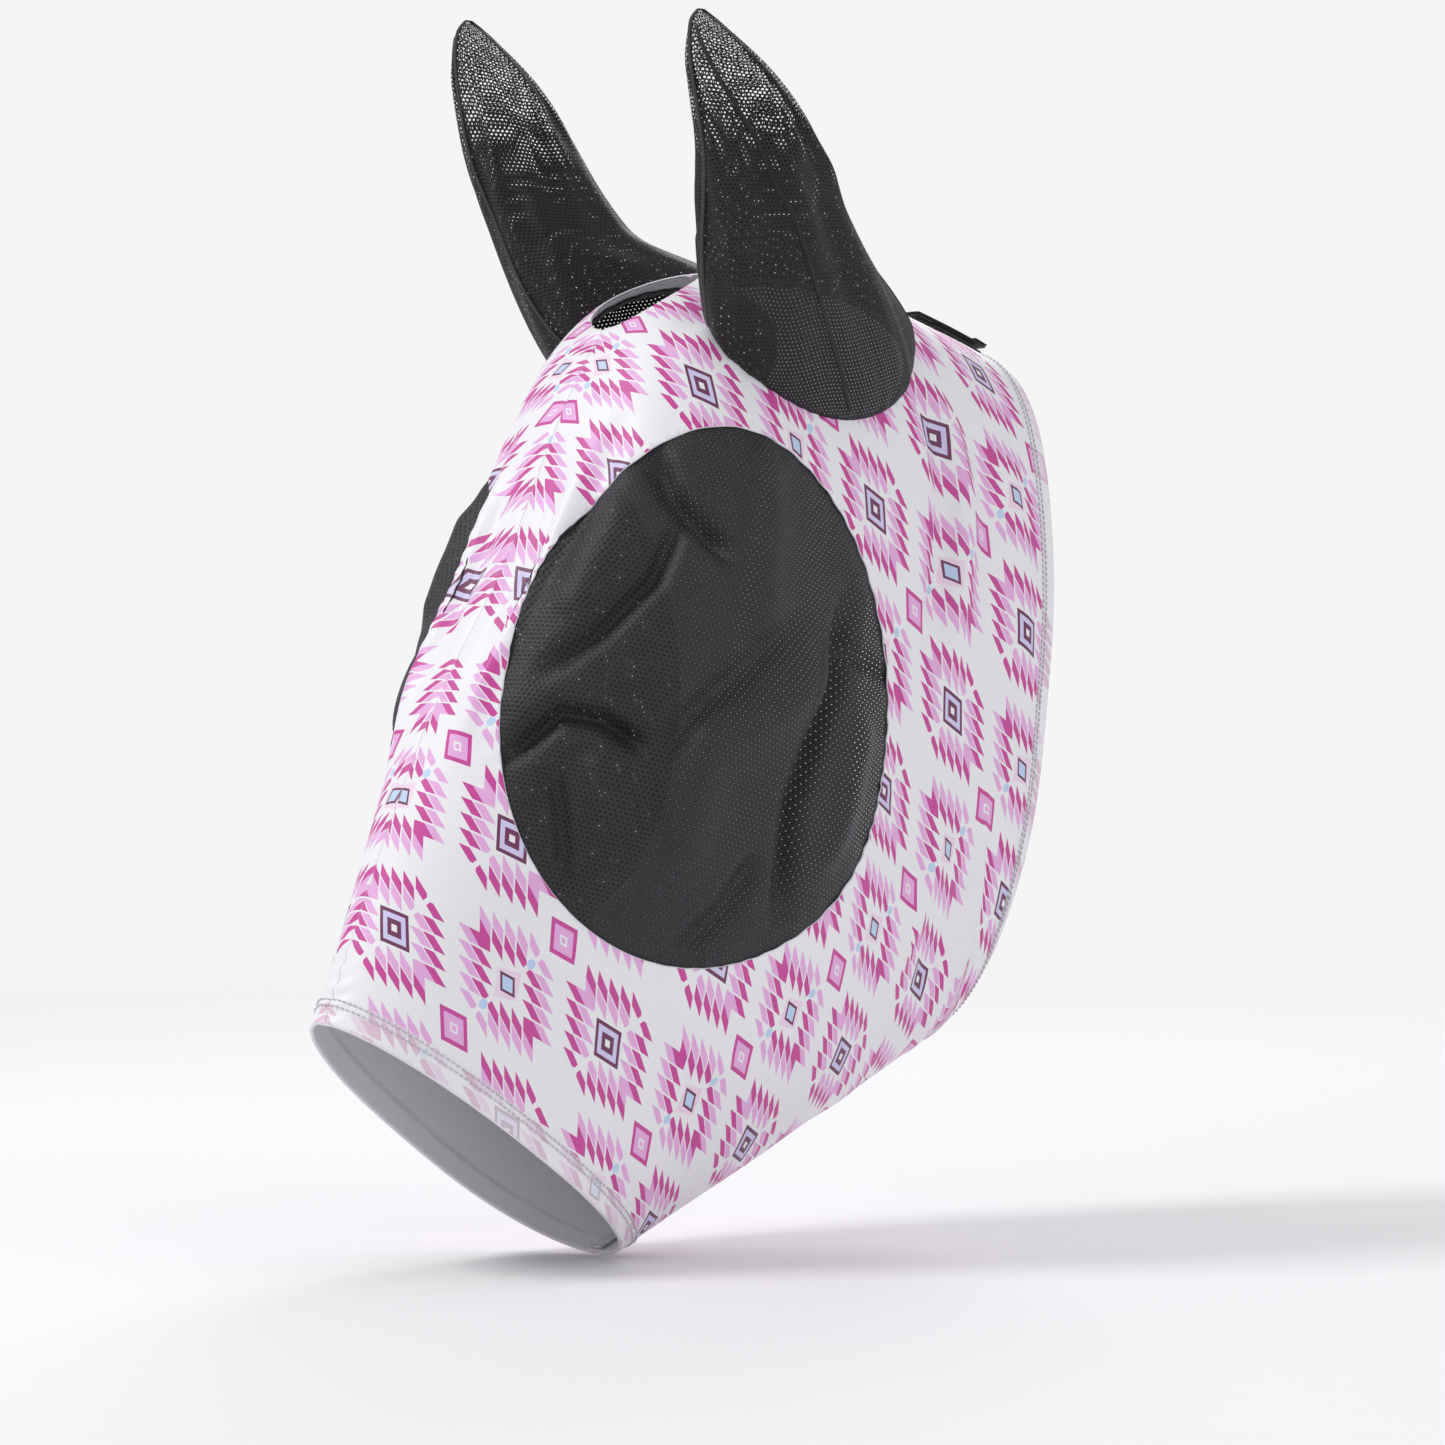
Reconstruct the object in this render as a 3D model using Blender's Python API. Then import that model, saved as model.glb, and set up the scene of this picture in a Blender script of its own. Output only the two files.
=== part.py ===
"""Pull-on fly mask for a horse: stretch side panels, domed eye nets, net ear covers, halter keeper.

Metres. +Z is up as worn, -Y is the way the horse faces, +X is the horse's left.
The origin is on the poll, where the mask rests on the head between the ears.
"""
import math

import bmesh
import bpy
import numpy as np
from mathutils import Vector
from mathutils.bvhtree import BVHTree

for old in list(bpy.data.objects):
    bpy.data.objects.remove(old)

# ---- driving dimensions ----
FABRIC = 0.0010          # stretch fabric
HEM_EXTRA = 0.0010       # the turned-in second layer
NET = 0.0008
NET_DOME = 0.008         # how far an eye net stands off the head's line at its middle
PANEL_GAP = 0.00015      # each panel stops this far from the middle
CLEAR = 0.0004           # between pieces that touch on the real thing
SEAM_WIDTH, SEAM_THICK = 0.008, 0.0009
THREAD = 0.0008
HEM_S = 0.019            # hem depth, 12 mm, as a share of the way along the head
KEEPER_WIDTH, STRAP = 0.020, 0.0012

# The head form: top line (y, z), bottom line (y, z), half width, where down the section it is
# widest, and how square the section is above and below that.
STATIONS = np.array([
    (0.00, -.231, -.378, -.060, -.502, .055, .58, 2.0, 2.2),   # nose edge
    (0.10, -.204, -.312, -.004, -.477, .064, .55, 2.0, 2.1),
    (0.20, -.181, -.258,  .036, -.459, .078, .50, 2.1, 2.0),
    (0.30, -.154, -.206,  .066, -.445, .094, .42, 2.3, 1.9),
    (0.40, -.123, -.156,  .090, -.435, .102, .38, 2.5, 1.9),   # eyes
    (0.50, -.098, -.104,  .108, -.426, .102, .38, 2.6, 1.9),
    (0.60, -.070, -.050,  .122, -.419, .096, .42, 2.8, 2.0),   # forehead
    (0.70, -.034, -.012,  .133, -.413, .089, .46, 2.8, 2.1),
    (0.80,  .020,  .002,  .141, -.409, .084, .50, 2.7, 2.2),   # ears
    (0.90,  .105, -.006,  .148, -.404, .081, .52, 2.6, 2.2),
    (0.98,  .191, -.031,  .156, -.398, .078, .52, 2.3, 2.2),   # neck hem
    (1.00,  .203, -.036,  .165, -.389, .077, .52, 2.3, 2.2),   # neck edge
])

FACE_LEAN = 27           # degrees: how far forward of plumb the face runs on its way down


def facing(forward, up):
    """Axes of an opening in the side of the head that looks this many degrees forward and up."""
    f, u, lean = (math.radians(v) for v in (forward, up, FACE_LEAN))
    out = np.array((math.cos(f) * math.cos(u), -math.sin(f) * math.cos(u), math.sin(u)))
    down = np.array((0, -math.sin(lean), -math.cos(lean)))
    along = down - out * (down @ out)
    along /= np.linalg.norm(along)
    return {"across": np.cross(out, along), "along": along}


# Openings cut through a side panel: middle, the axes across and along, and the sizes
EYE = {"middle": (.070, -.055, -.240), "turn": -10, "a": (.105, .100), "b": (.115, .155),
       "reach": (.056, .060), **facing(forward=30, up=12)}
EAR = {"middle": (.0565, .034, -.037), "across": (.78, 0, -.626), "along": (0, 1, 0),
       "turn": 0.0, "a": (.0390, .0390), "b": (.066, .066), "reach": (.030, .040)}
FORELOCK = {"middle": (0, -.028, -.016), "across": (1, 0, 0), "along": (0, .865, .502),
            "turn": 0.0, "a": (.027, .027), "b": (.033, .033), "reach": (.030, .025)}

# The ear cover above its base: height z, middle x and y, half depth fore and aft, half width
EAR_RINGS = np.array([
    (.0000, .0757, .0030, .052, .034),
    (.0100, .0790, -.0055, .048, .032),
    (.0250, .0837, -.0167, .043, .029),
    (.0550, .0937, -.0305, .037, .024),
    (.0870, .0960, -.0450, .030, .019),
    (.1040, .0960, -.0550, .0235, .0145),
    (.1170, .0957, -.0630, .0155, .0090),
    (.1260, .0952, -.0690, .0075, .0042),
    (.1290, .0950, -.0710, .0040, .0022),
])
EAR_SPLIT = .0100        # above this height the cover folds back


def spline(xs, ys, x):
    """Smooth curve through the stated points."""
    n = len(xs)
    h = np.diff(xs)
    m, r = np.eye(n), np.zeros(n)
    for i in range(1, n - 1):
        m[i, i - 1:i + 2] = h[i - 1], 2 * (h[i - 1] + h[i]), h[i]
        r[i] = 6 * ((ys[i + 1] - ys[i]) / h[i] - (ys[i] - ys[i - 1]) / h[i - 1])
    c = np.linalg.solve(m, r)
    x = np.atleast_1d(x)
    k = np.clip(np.searchsorted(xs, x) - 1, 0, n - 2)
    t, u, w = x - xs[k], xs[k + 1] - x, h[k]
    return (c[k] * u**3 + c[k + 1] * t**3) / (6 * w) + (ys[k] / w - c[k] * w / 6) * u \
        + (ys[k + 1] / w - c[k + 1] * w / 6) * t


def section(s, shares):
    """Points of the left half of the head's section at s, at shares of its girth from top to bottom."""
    ty, tz, by, bz, w, um, nt, nb = (float(spline(STATIONS[:, 0], STATIONS[:, c], s)[0]) for c in range(1, 9))
    a = np.linspace(0, math.pi, 361)
    c, n = np.cos(a), np.where(np.cos(a) > 0, nt, nb)
    bulge = np.abs(c) ** (2 / n)
    u = np.where(c > 0, um * (1 - bulge), um + (1 - um) * bulge)
    x = w * np.abs(np.sin(a)) ** (2 / n)
    run = np.r_[0, np.cumsum(np.hypot(np.diff(x), np.diff(u) * math.hypot(by - ty, bz - tz)))]
    at = np.asarray(shares) * run[-1]
    x, u = np.interp(at, run, x), np.interp(at, run, u)
    return np.c_[x, ty + (by - ty) * u, tz + (bz - tz) * u]


def form(s_list, t_list):
    return np.array([section(s, t_list) for s in s_list])


def grid_normals(grid):
    """Outward normals of a left-half grid, square to the middle plane along its two edges."""
    du, dv = np.gradient(grid, axis=0), np.gradient(grid, axis=1)
    dv[:, 0, 1:], dv[:, -1, 1:] = 0, 0
    n = np.cross(dv, du)
    n /= np.linalg.norm(n, axis=2, keepdims=True)
    return n


def unit(v):
    v = np.array(v, float)
    return v / np.linalg.norm(v)


# ---- making solids ----
def material(name, colour, roughness):
    m = bpy.data.materials.new(name)
    m.use_nodes = True
    b = m.node_tree.nodes["Principled BSDF"]
    b.inputs["Base Color"].default_value = (*colour, 1)
    b.inputs["Roughness"].default_value = roughness
    return m


LOOKS = {"fabric": ((.90, .88, .90), .55), "net": ((.012, .012, .013), .6), "thread": ((.85, .83, .85), .6),
         "webbing": ((.015, .015, .016), .7), "black thread": ((.02, .02, .02), .6)}


def face_out(mesh, flip_x=False):
    """Turn every face outwards, after mirroring the mesh if asked."""
    bm = bmesh.new()
    bm.from_mesh(mesh)
    if flip_x:
        for v in bm.verts:
            v.co.x = -v.co.x
    bmesh.ops.recalc_face_normals(bm, faces=bm.faces)
    if bm.calc_volume(signed=True) < 0:
        bmesh.ops.reverse_faces(bm, faces=bm.faces)
    bm.to_mesh(mesh)
    bm.free()


def solid(name, points, faces, look, collection=None):
    mesh = bpy.data.meshes.new(name)
    mesh.from_pydata([tuple(map(float, p)) for p in points], [], [tuple(int(i) for i in f) for f in faces])
    face_out(mesh)
    ob = bpy.data.objects.new(name, mesh)
    (collection or bpy.context.scene.collection).objects.link(ob)
    if look:
        mesh.materials.append(material(name, *LOOKS[look]))
    return ob


def sheet_faces(n, m, wrap):
    """Triangles of two matching n x m grids of points, one after the other, joined round their edges."""
    at = np.arange(n * m).reshape(n, m)
    low = n * m
    cols = m if wrap else m - 1
    faces = []
    for i in range(n - 1):
        for j in range(cols):
            a, b, c, d = at[i, j], at[i + 1, j], at[i + 1, (j + 1) % m], at[i, (j + 1) % m]
            faces += [(a, b, c), (a, c, d), (a + low, c + low, b + low), (a + low, d + low, c + low)]
    for i in (0, n - 1):
        for j in range(cols):
            a, b = at[i, j], at[i, (j + 1) % m]
            faces.append((a, b, b + low, a + low))
    if not wrap:
        for j in (0, m - 1):
            for i in range(n - 1):
                a, b = at[i, j], at[i + 1, j]
                faces.append((a, b, b + low, a + low))
    return faces


def sheet(name, outer, inner, look, wrap=False):
    n, m = outer.shape[:2]
    return solid(name, np.r_[outer.reshape(-1, 3), inner.reshape(-1, 3)], sheet_faces(n, m, wrap), look)


def disc_sheet(name, outer, inner, tops, look):
    """A round sheet: rings of points from near the middle outwards, closed over the middle."""
    n, m = outer.shape[:2]
    faces = [f for f in sheet_faces(n, m, True)]
    low, mid = n * m, 2 * n * m
    surfaces = (n - 1) * m * 4
    faces = faces[:surfaces] + faces[surfaces + m:]
    for j in range(m):
        faces += [(mid, j, (j + 1) % m), (mid + 1, low + j, low + (j + 1) % m)]
    return solid(name, np.r_[outer.reshape(-1, 3), inner.reshape(-1, 3), tops], faces, look)


def mirrored(ob, name):
    mesh = ob.data.copy()
    mesh.name = name
    face_out(mesh, flip_x=True)
    twin = bpy.data.objects.new(name, mesh)
    bpy.context.scene.collection.objects.link(twin)
    twin.data.materials.clear()
    look = ob.data.materials[0].node_tree.nodes["Principled BSDF"]
    twin.data.materials.append(material(name, tuple(look.inputs["Base Color"].default_value)[:3],
                                        look.inputs["Roughness"].default_value))
    return twin


cutters = bpy.data.collections.new("cutters")
bpy.context.scene.collection.children.link(cutters)


def frame_of(hole):
    across, along = unit(hole["across"]), unit(hole["along"])
    out = unit(np.cross(across, along))
    if out @ np.array((.5, -.3, .8)) < 0:
        out = -out
    return np.array(hole["middle"]), across, along, out


def outline(hole, angles, grow=0.0, scale=1.0):
    """Points of an opening's egg outline in its own plane, grown by a distance."""
    mid, across, along, _ = frame_of(hole)
    c, s = np.cos(angles), np.sin(angles)
    x = np.where(c > 0, hole["a"][0] + grow, hole["a"][1] + grow) * c * scale
    y = np.where(s > 0, hole["b"][0] + grow, hole["b"][1] + grow) * s * scale
    t = math.radians(hole["turn"])
    u, v = x * math.cos(t) - y * math.sin(t), x * math.sin(t) + y * math.cos(t)
    return mid + np.outer(u, across) + np.outer(v, along)


def cutter(name, hole, sides):
    edge = outline(hole, np.linspace(0, 2 * math.pi, sides, endpoint=False))
    out = frame_of(hole)[3]
    low, high = edge - out * hole["reach"][0], edge + out * hole["reach"][1]
    ring = list(range(sides))
    faces = [ring, [i + sides for i in ring]] + [(i, (i + 1) % sides, (i + 1) % sides + sides, i + sides)
                                                for i in ring]
    ob = solid(name, np.r_[low, high], faces, None, cutters)
    ob.hide_render, ob.display_type = True, "WIRE"
    return ob


def cut(ob, *tools):
    ob.modifiers.new("triangles", "TRIANGULATE")
    for tool in tools:
        mod = ob.modifiers.new("cut", "BOOLEAN")
        mod.operation, mod.solver, mod.object = "DIFFERENCE", "EXACT", tool


# ---- side panels ----
S_LINES = np.r_[0, .0125, .017, HEM_S, HEM_S + .002, np.linspace(.07, .935, 14), .958, .979,
                1 - HEM_S, .983, .9875, 1]
T_LINES = np.r_[0, .018, np.linspace(.075, .925, 12), .982, 1]
OUTER = form(S_LINES, T_LINES)
NORMALS = grid_normals(OUTER)
in_hem = (S_LINES <= HEM_S + 1e-9) | (S_LINES >= 1 - HEM_S - 1e-9)
THICK = FABRIC + HEM_EXTRA * in_hem
INNER = OUTER - NORMALS * THICK[:, None, None]


def off_middle(grid):
    grid = grid.copy()
    grid[..., 0] = np.maximum(grid[..., 0], PANEL_GAP)
    return grid


panel = sheet("left_side_panel", off_middle(OUTER), off_middle(INNER), "fabric")
EYE_SIDES, EAR_SIDES, HOLE_SIDES = 40, 28, 20
cut(panel, cutter("eye_cut", EYE, EYE_SIDES), cutter("ear_cut", EAR, EAR_SIDES),
    cutter("forelock_cut", FORELOCK, HOLE_SIDES))
bpy.context.view_layer.update()
done = bpy.data.meshes.new_from_object(panel.evaluated_get(bpy.context.evaluated_depsgraph_get()))
panel.modifiers.clear()
panel.data = done
done.name = "left_side_panel"
mirrored(panel, "right_side_panel")


def tree(grid):
    """The whole surface, both halves, for dropping points onto it."""
    n, m = grid.shape[:2]
    at = np.arange(n * m).reshape(n, m)
    tris = []
    for i in range(n - 1):
        for j in range(m - 1):
            tris += [(at[i, j], at[i + 1, j], at[i + 1, j + 1]), (at[i, j], at[i + 1, j + 1], at[i, j + 1])]
    pts = np.r_[grid.reshape(-1, 3), grid.reshape(-1, 3) * (-1, 1, 1)]
    tris += [tuple(k + n * m for k in t) for t in tris]
    return BVHTree.FromPolygons([Vector(p) for p in pts], [tuple(map(int, t)) for t in tris])


OUTER_TREE, INNER_TREE = tree(OUTER), tree(INNER)


def dropped(points, out, surface, lift):
    """The points moved along an opening's axis onto a surface, then off it along its normal."""
    landed = []
    for p in points:
        hit, normal, _, _ = surface.ray_cast(Vector(p + out * .12), Vector(-out))
        if normal.dot(Vector(out)) < 0:
            normal = -normal
        landed.append(np.array(hit + normal * lift))
    return np.array(landed)


def seam_band(name, hole, sides, look, inside=SEAM_WIDTH / 2, outside=SEAM_WIDTH / 2):
    """The seam allowance round an opening, under the fabric."""
    angles = np.linspace(0, 2 * math.pi, sides, endpoint=False)
    out = frame_of(hole)[3]
    rows = []
    for grow in (outside, -inside):
        edge = outline(hole, angles, grow)
        rows.append([dropped(edge, out, INNER_TREE, -CLEAR - THREAD * k) for k in (0.8, 1.8)])
    top = np.array([r[0] for r in rows])
    low = np.array([r[1] for r in rows])
    return sheet(name, top, low, look, wrap=True)


# ---- eye nets ----
def eye_net(name):
    angles = np.linspace(0, 2 * math.pi, EYE_SIDES, endpoint=False)
    out = frame_of(EYE)[3]
    rings_top, rings_low = [], []
    for k in (.30, .55, .78, .93, 1.0):
        edge = outline(EYE, angles, -.0009, k)
        rise = NET_DOME * (1 - k ** 2.4)
        rings_top.append(dropped(edge, out, OUTER_TREE, rise))
        rings_low.append(dropped(edge, out, OUTER_TREE, rise - NET))
    mid = [dropped(np.array([EYE["middle"]]), out, OUTER_TREE, NET_DOME - d)[0] for d in (0, NET)]
    return disc_sheet(name, np.array(rings_top), np.array(rings_low), np.array(mid), "net")


net = eye_net("left_eye_net")
mirrored(net, "right_eye_net")
band = seam_band("left_eye_seam", EYE, 64, "black thread")
mirrored(band, "right_eye_seam")


# ---- ear covers ----
def ear_rings(levels, angles):
    """Rings of the ear cover from its base on the head upwards; level 0 is the base, 1 the split."""
    base = dropped(outline(EAR, angles, -.0010), frame_of(EAR)[3], OUTER_TREE, 0.0)
    rings = []
    for z in levels:
        x, y, a, b = (float(spline(EAR_RINGS[:, 0], EAR_RINGS[:, c], max(z, 0))[0]) for c in range(1, 5))
        ring = np.c_[x + b * np.cos(angles), y + a * np.sin(angles), np.full(len(angles), max(z, 0))]
        if z < 0:
            share = 1 + z
            ring = base + (ring - base) * share + np.array((0, 0, .004)) * math.sin(math.pi * share)
        rings.append(ring)
    return np.array(rings)


def tube_inside(rings, thick):
    """The same rings moved inwards by the net's thickness."""
    around = np.roll(rings, -1, axis=1) - np.roll(rings, 1, axis=1)
    up = np.gradient(rings, axis=0)
    n = np.cross(around, up)
    n /= np.linalg.norm(n, axis=2, keepdims=True)
    mid = rings.mean(axis=1, keepdims=True)
    flip = np.sign(((rings - mid) * n).sum(axis=2, keepdims=True).mean())
    return rings - n * flip * thick


ear_angles = np.linspace(0, 2 * math.pi, EAR_SIDES, endpoint=False)
low_rings = ear_rings([-1, -.8, -.55, -.28, 0, EAR_SPLIT - .0006], ear_angles)
base_net = sheet("left_ear_base_net", low_rings, tube_inside(low_rings, NET), "net", wrap=True)
mirrored(base_net, "right_ear_base_net")
base_seam = seam_band("left_ear_base_seam", EAR, 40, "black thread", inside=.003, outside=.005)
mirrored(base_seam, "right_ear_base_seam")

heights = [EAR_SPLIT + .0002, .025, .043, .061, .079, .096, .110, .120, .126, .129]
high_rings = ear_rings(heights, ear_angles)
high_inside = tube_inside(high_rings, NET)
quarter = EAR_SIDES // 4
for side, first in (("outer", -quarter), ("inner", quarter)):
    pick = [(first + k) % EAR_SIDES for k in range(2 * quarter + 1)]
    out_grid, in_grid = high_rings[:, pick].copy(), high_inside[:, pick].copy()
    for grid in (out_grid, in_grid):          # each panel stops just short of the edge seam
        for end, nxt in ((0, 1), (-1, -2)):
            grid[:, end] += (grid[:, nxt] - grid[:, end]) * .12
    half = sheet(f"left_ear_{side}_net", out_grid, in_grid, "net")
    mirrored(half, f"right_ear_{side}_net")


def edge_seam(name):
    """The bound seam up the front edge of the ear cover, over its tip and down the back."""
    front, back = high_rings[:, 3 * quarter], high_rings[:, quarter]
    tip = (front[-1] + back[-1]) / 2
    path = list(front) + [tip + (0, -.0018, .0016), tip + (0, .0018, .0016)] + list(back[::-1])
    path = np.array(path)
    step = np.gradient(path, axis=0)
    side = np.tile((1.0, 0, 0), (len(path), 1))
    out = np.cross(step, side)
    out /= np.linalg.norm(out, axis=1, keepdims=True)
    mid = high_rings.mean(axis=(0, 1))
    if ((path - mid) * out).sum() < 0:
        out = -out
    lifts, half = (CLEAR, CLEAR + .0009), .0022
    grids = [np.stack([path + out * lift + side * half * k for k in (-1, 1)], axis=1) for lift in lifts]
    return sheet(name, grids[1], grids[0], "black thread")


seam = edge_seam("left_ear_edge_seam")
mirrored(seam, "right_ear_edge_seam")


# ---- seams on the middle line ----
def middle_seam(name, column, lines, half=SEAM_WIDTH / 2):
    """A seam allowance under both panels along the middle, from line to line of the form."""
    top, low = [], []
    step = 1 if column == 0 else -2
    for i in lines:
        a, b = INNER[i, column], INNER[i, column + (1 if column == 0 else -1)]
        share = half / b[0]
        edge = a + (b - a) * share
        n_mid = NORMALS[i, column]
        thick = THICK.max() - THICK[i]
        rows = [edge * (-1, 1, 1), np.array((0, *a[1:])), edge]
        top.append([r - n_mid * (CLEAR + thick) for r in rows])
        low.append([r - n_mid * (CLEAR + thick + SEAM_THICK) for r in rows])
    return sheet(name, np.array(top), np.array(low), "thread")


hole_front = FORELOCK["middle"][1] - FORELOCK["b"][0] * .865
hole_back = FORELOCK["middle"][1] + FORELOCK["b"][0] * .865
top_y = OUTER[:, 0, 1]
face_lines = [i for i in range(len(S_LINES)) if top_y[i] < hole_front - .008]
crest_lines = [i for i in range(len(S_LINES)) if top_y[i] > hole_back + .008]
middle_seam("face_seam", 0, face_lines)
middle_seam("crest_seam", 0, crest_lines)
middle_seam("jaw_seam", len(T_LINES) - 1, range(len(S_LINES)))
seam_band("forelock_hem", FORELOCK, 28, "fabric", inside=-.0003, outside=.0065)


# ---- hem stitching ----
def stitch_row(name, line):
    """One needle row right round a hem, just off the fabric."""
    half, n = OUTER[line], NORMALS[line]
    ring = np.r_[half, (half * (-1, 1, 1))[1:-1][::-1]]
    normals = np.r_[n, (n * (-1, 1, 1))[1:-1][::-1]]
    along = OUTER[line + 1] - OUTER[line] if line + 1 < len(S_LINES) else OUTER[line] - OUTER[line - 1]
    along /= np.linalg.norm(along, axis=1, keepdims=True)
    along = np.r_[along, (along * (-1, 1, 1))[1:-1][::-1]]
    grids = [np.array([ring + normals * (CLEAR + lift) + along * THREAD * k for k in (-.4, .4)])
             for lift in (THREAD, 0)]
    return sheet(name, grids[0], grids[1], "thread", wrap=True)


last = len(S_LINES) - 1
stitch_row("nose_stitch_outer_row", 1)
stitch_row("nose_stitch_inner_row", 2)
stitch_row("neck_stitch_outer_row", last - 1)
stitch_row("neck_stitch_inner_row", last - 2)


# ---- halter keeper ----
keeper_lines = [i for i in range(len(S_LINES)) if .93 < S_LINES[i] < .99]
crest = OUTER[keeper_lines, 0]
crest_up = NORMALS[keeper_lines, 0]


def strap(name, points, up, lift, thick, half_width, look):
    """A flat strip along the crest, its underside lifted off the fabric."""
    grids = []
    for h in (lift + thick, lift):
        mid = points + up * h
        grids.append(np.stack([mid - (half_width, 0, 0), mid + (half_width, 0, 0)], axis=1))
    return sheet(name, grids[0], grids[1], look)


def between(share_a, share_b, count=5):
    """Points and up directions along the crest between two shares of the keeper's length."""
    run = np.r_[0, np.cumsum(np.linalg.norm(np.diff(crest, axis=0), axis=1))]
    inner = [r / run[-1] for r in run if share_a < r / run[-1] < share_b]
    at = np.array([share_a, *inner, share_b]) * run[-1]
    pts = np.stack([np.interp(at, run, crest[:, k]) for k in range(3)], axis=1)
    ups = np.stack([np.interp(at, run, crest_up[:, k]) for k in range(3)], axis=1)
    return pts, ups / np.linalg.norm(ups, axis=1, keepdims=True)


W = KEEPER_WIDTH / 2
BASE_TOP = .0010 + THREAD + STRAP
PATCH = .0009
pts, ups = between(0, 1)
strap("keeper_base_strap", pts, ups, .0010 + THREAD, STRAP, W, "webbing")
pts, ups = between(.30, .92)
strap("keeper_loop_patch", pts, ups, BASE_TOP + .0003, PATCH, W - .0015, "webbing")
strap("keeper_hook_patch", pts, ups, BASE_TOP + .0006 + PATCH, PATCH, W - .0015, "webbing")
TOP_LOW = BASE_TOP + .0009 + 2 * PATCH
pts, ups = between(.06, 1.0)
strap("keeper_top_strap", pts, ups, TOP_LOW, STRAP, W, "webbing")
pts, ups = between(.075, .26)
strap("keeper_end_fold", pts, ups, BASE_TOP + .0003, TOP_LOW - BASE_TOP - .0006, W, "webbing")
pts, ups = between(.86, 1.0)
strap("keeper_pull_tab", pts, ups, TOP_LOW + STRAP + .0003, STRAP, W, "webbing")
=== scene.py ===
"""Looks of the pull-on fly mask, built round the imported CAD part.

Metres, in the part's own frame: +Z up as worn, -Y the way the horse faces, +X the horse's left.
"""

import math

import bpy
import numpy as np
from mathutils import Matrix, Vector
from mathutils.bvhtree import BVHTree


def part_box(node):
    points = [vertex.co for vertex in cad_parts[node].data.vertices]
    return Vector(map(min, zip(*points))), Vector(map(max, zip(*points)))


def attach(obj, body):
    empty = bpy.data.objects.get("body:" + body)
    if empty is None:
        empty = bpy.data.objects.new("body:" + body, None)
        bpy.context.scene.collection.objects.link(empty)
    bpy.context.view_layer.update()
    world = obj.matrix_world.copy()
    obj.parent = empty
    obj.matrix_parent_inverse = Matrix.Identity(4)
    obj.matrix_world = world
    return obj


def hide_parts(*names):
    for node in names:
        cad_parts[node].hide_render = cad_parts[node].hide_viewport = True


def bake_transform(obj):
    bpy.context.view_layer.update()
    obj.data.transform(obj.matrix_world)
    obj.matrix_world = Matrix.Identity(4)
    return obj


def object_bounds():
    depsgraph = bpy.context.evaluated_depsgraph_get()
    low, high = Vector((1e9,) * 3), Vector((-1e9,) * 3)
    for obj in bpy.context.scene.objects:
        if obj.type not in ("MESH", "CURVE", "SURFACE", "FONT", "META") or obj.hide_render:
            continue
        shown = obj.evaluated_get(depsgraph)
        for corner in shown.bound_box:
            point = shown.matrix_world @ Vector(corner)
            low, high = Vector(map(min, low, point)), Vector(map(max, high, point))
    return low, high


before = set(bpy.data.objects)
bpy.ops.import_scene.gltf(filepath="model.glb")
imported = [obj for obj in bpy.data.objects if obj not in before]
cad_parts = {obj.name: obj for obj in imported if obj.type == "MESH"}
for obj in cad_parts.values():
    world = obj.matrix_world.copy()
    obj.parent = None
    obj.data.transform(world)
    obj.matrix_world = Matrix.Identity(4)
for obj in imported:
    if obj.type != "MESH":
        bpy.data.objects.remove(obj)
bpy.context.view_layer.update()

# ---- the part's driving shape, as in its CAD ----
FABRIC, HEM_EXTRA = .0010, .0010
NET_DOME, PANEL_GAP, HEM_S = .008, .00015, .019
KEEPER_WIDTH, STRAP, PATCH, THREAD = .020, .0012, .0009, .0008

# share along the head, top line (y, z), bottom line (y, z), half width, height of the widest
# point, and how square the section is above and below it
STATIONS = np.array([
    (0.00, -.231, -.378, -.060, -.502, .055, .58, 2.0, 2.2),
    (0.10, -.204, -.312, -.004, -.477, .064, .55, 2.0, 2.1),
    (0.20, -.181, -.258, .036, -.459, .078, .50, 2.1, 2.0),
    (0.30, -.154, -.206, .066, -.445, .094, .42, 2.3, 1.9),
    (0.40, -.123, -.156, .090, -.435, .102, .38, 2.5, 1.9),
    (0.50, -.098, -.104, .108, -.426, .102, .38, 2.6, 1.9),
    (0.60, -.070, -.050, .122, -.419, .096, .42, 2.8, 2.0),
    (0.70, -.034, -.012, .133, -.413, .089, .46, 2.8, 2.1),
    (0.80, .020, .002, .141, -.409, .084, .50, 2.7, 2.2),
    (0.90, .105, -.006, .148, -.404, .081, .52, 2.6, 2.2),
    (0.98, .191, -.031, .156, -.398, .078, .52, 2.3, 2.2),
    (1.00, .203, -.036, .165, -.389, .077, .52, 2.3, 2.2),
])
FACE_LEAN = 27           # degrees: how far forward of plumb the face runs on its way down


def facing(forward, up):
    """Axes of an opening in the side of the head that looks this many degrees forward and up."""
    f, u, lean = (math.radians(v) for v in (forward, up, FACE_LEAN))
    out = np.array((math.cos(f) * math.cos(u), -math.sin(f) * math.cos(u), math.sin(u)))
    down = np.array((0, -math.sin(lean), -math.cos(lean)))
    along = down - out * (down @ out)
    along /= np.linalg.norm(along)
    return {"across": np.cross(out, along), "along": along}


EYE = {"middle": (.070, -.055, -.240), "turn": -10, "a": (.105, .100), "b": (.115, .155),
       "reach": (.056, .060), **facing(forward=30, up=12)}
EAR = {"middle": (.0565, .034, -.037), "across": (.78, 0, -.626), "along": (0, 1, 0),
       "turn": 0.0, "a": (.0390, .0390), "b": (.066, .066), "reach": (.030, .040)}
FORELOCK = {"middle": (0, -.028, -.016), "across": (1, 0, 0), "along": (0, .865, .502),
            "turn": 0.0, "a": (.027, .027), "b": (.033, .033), "reach": (.030, .025)}
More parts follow.
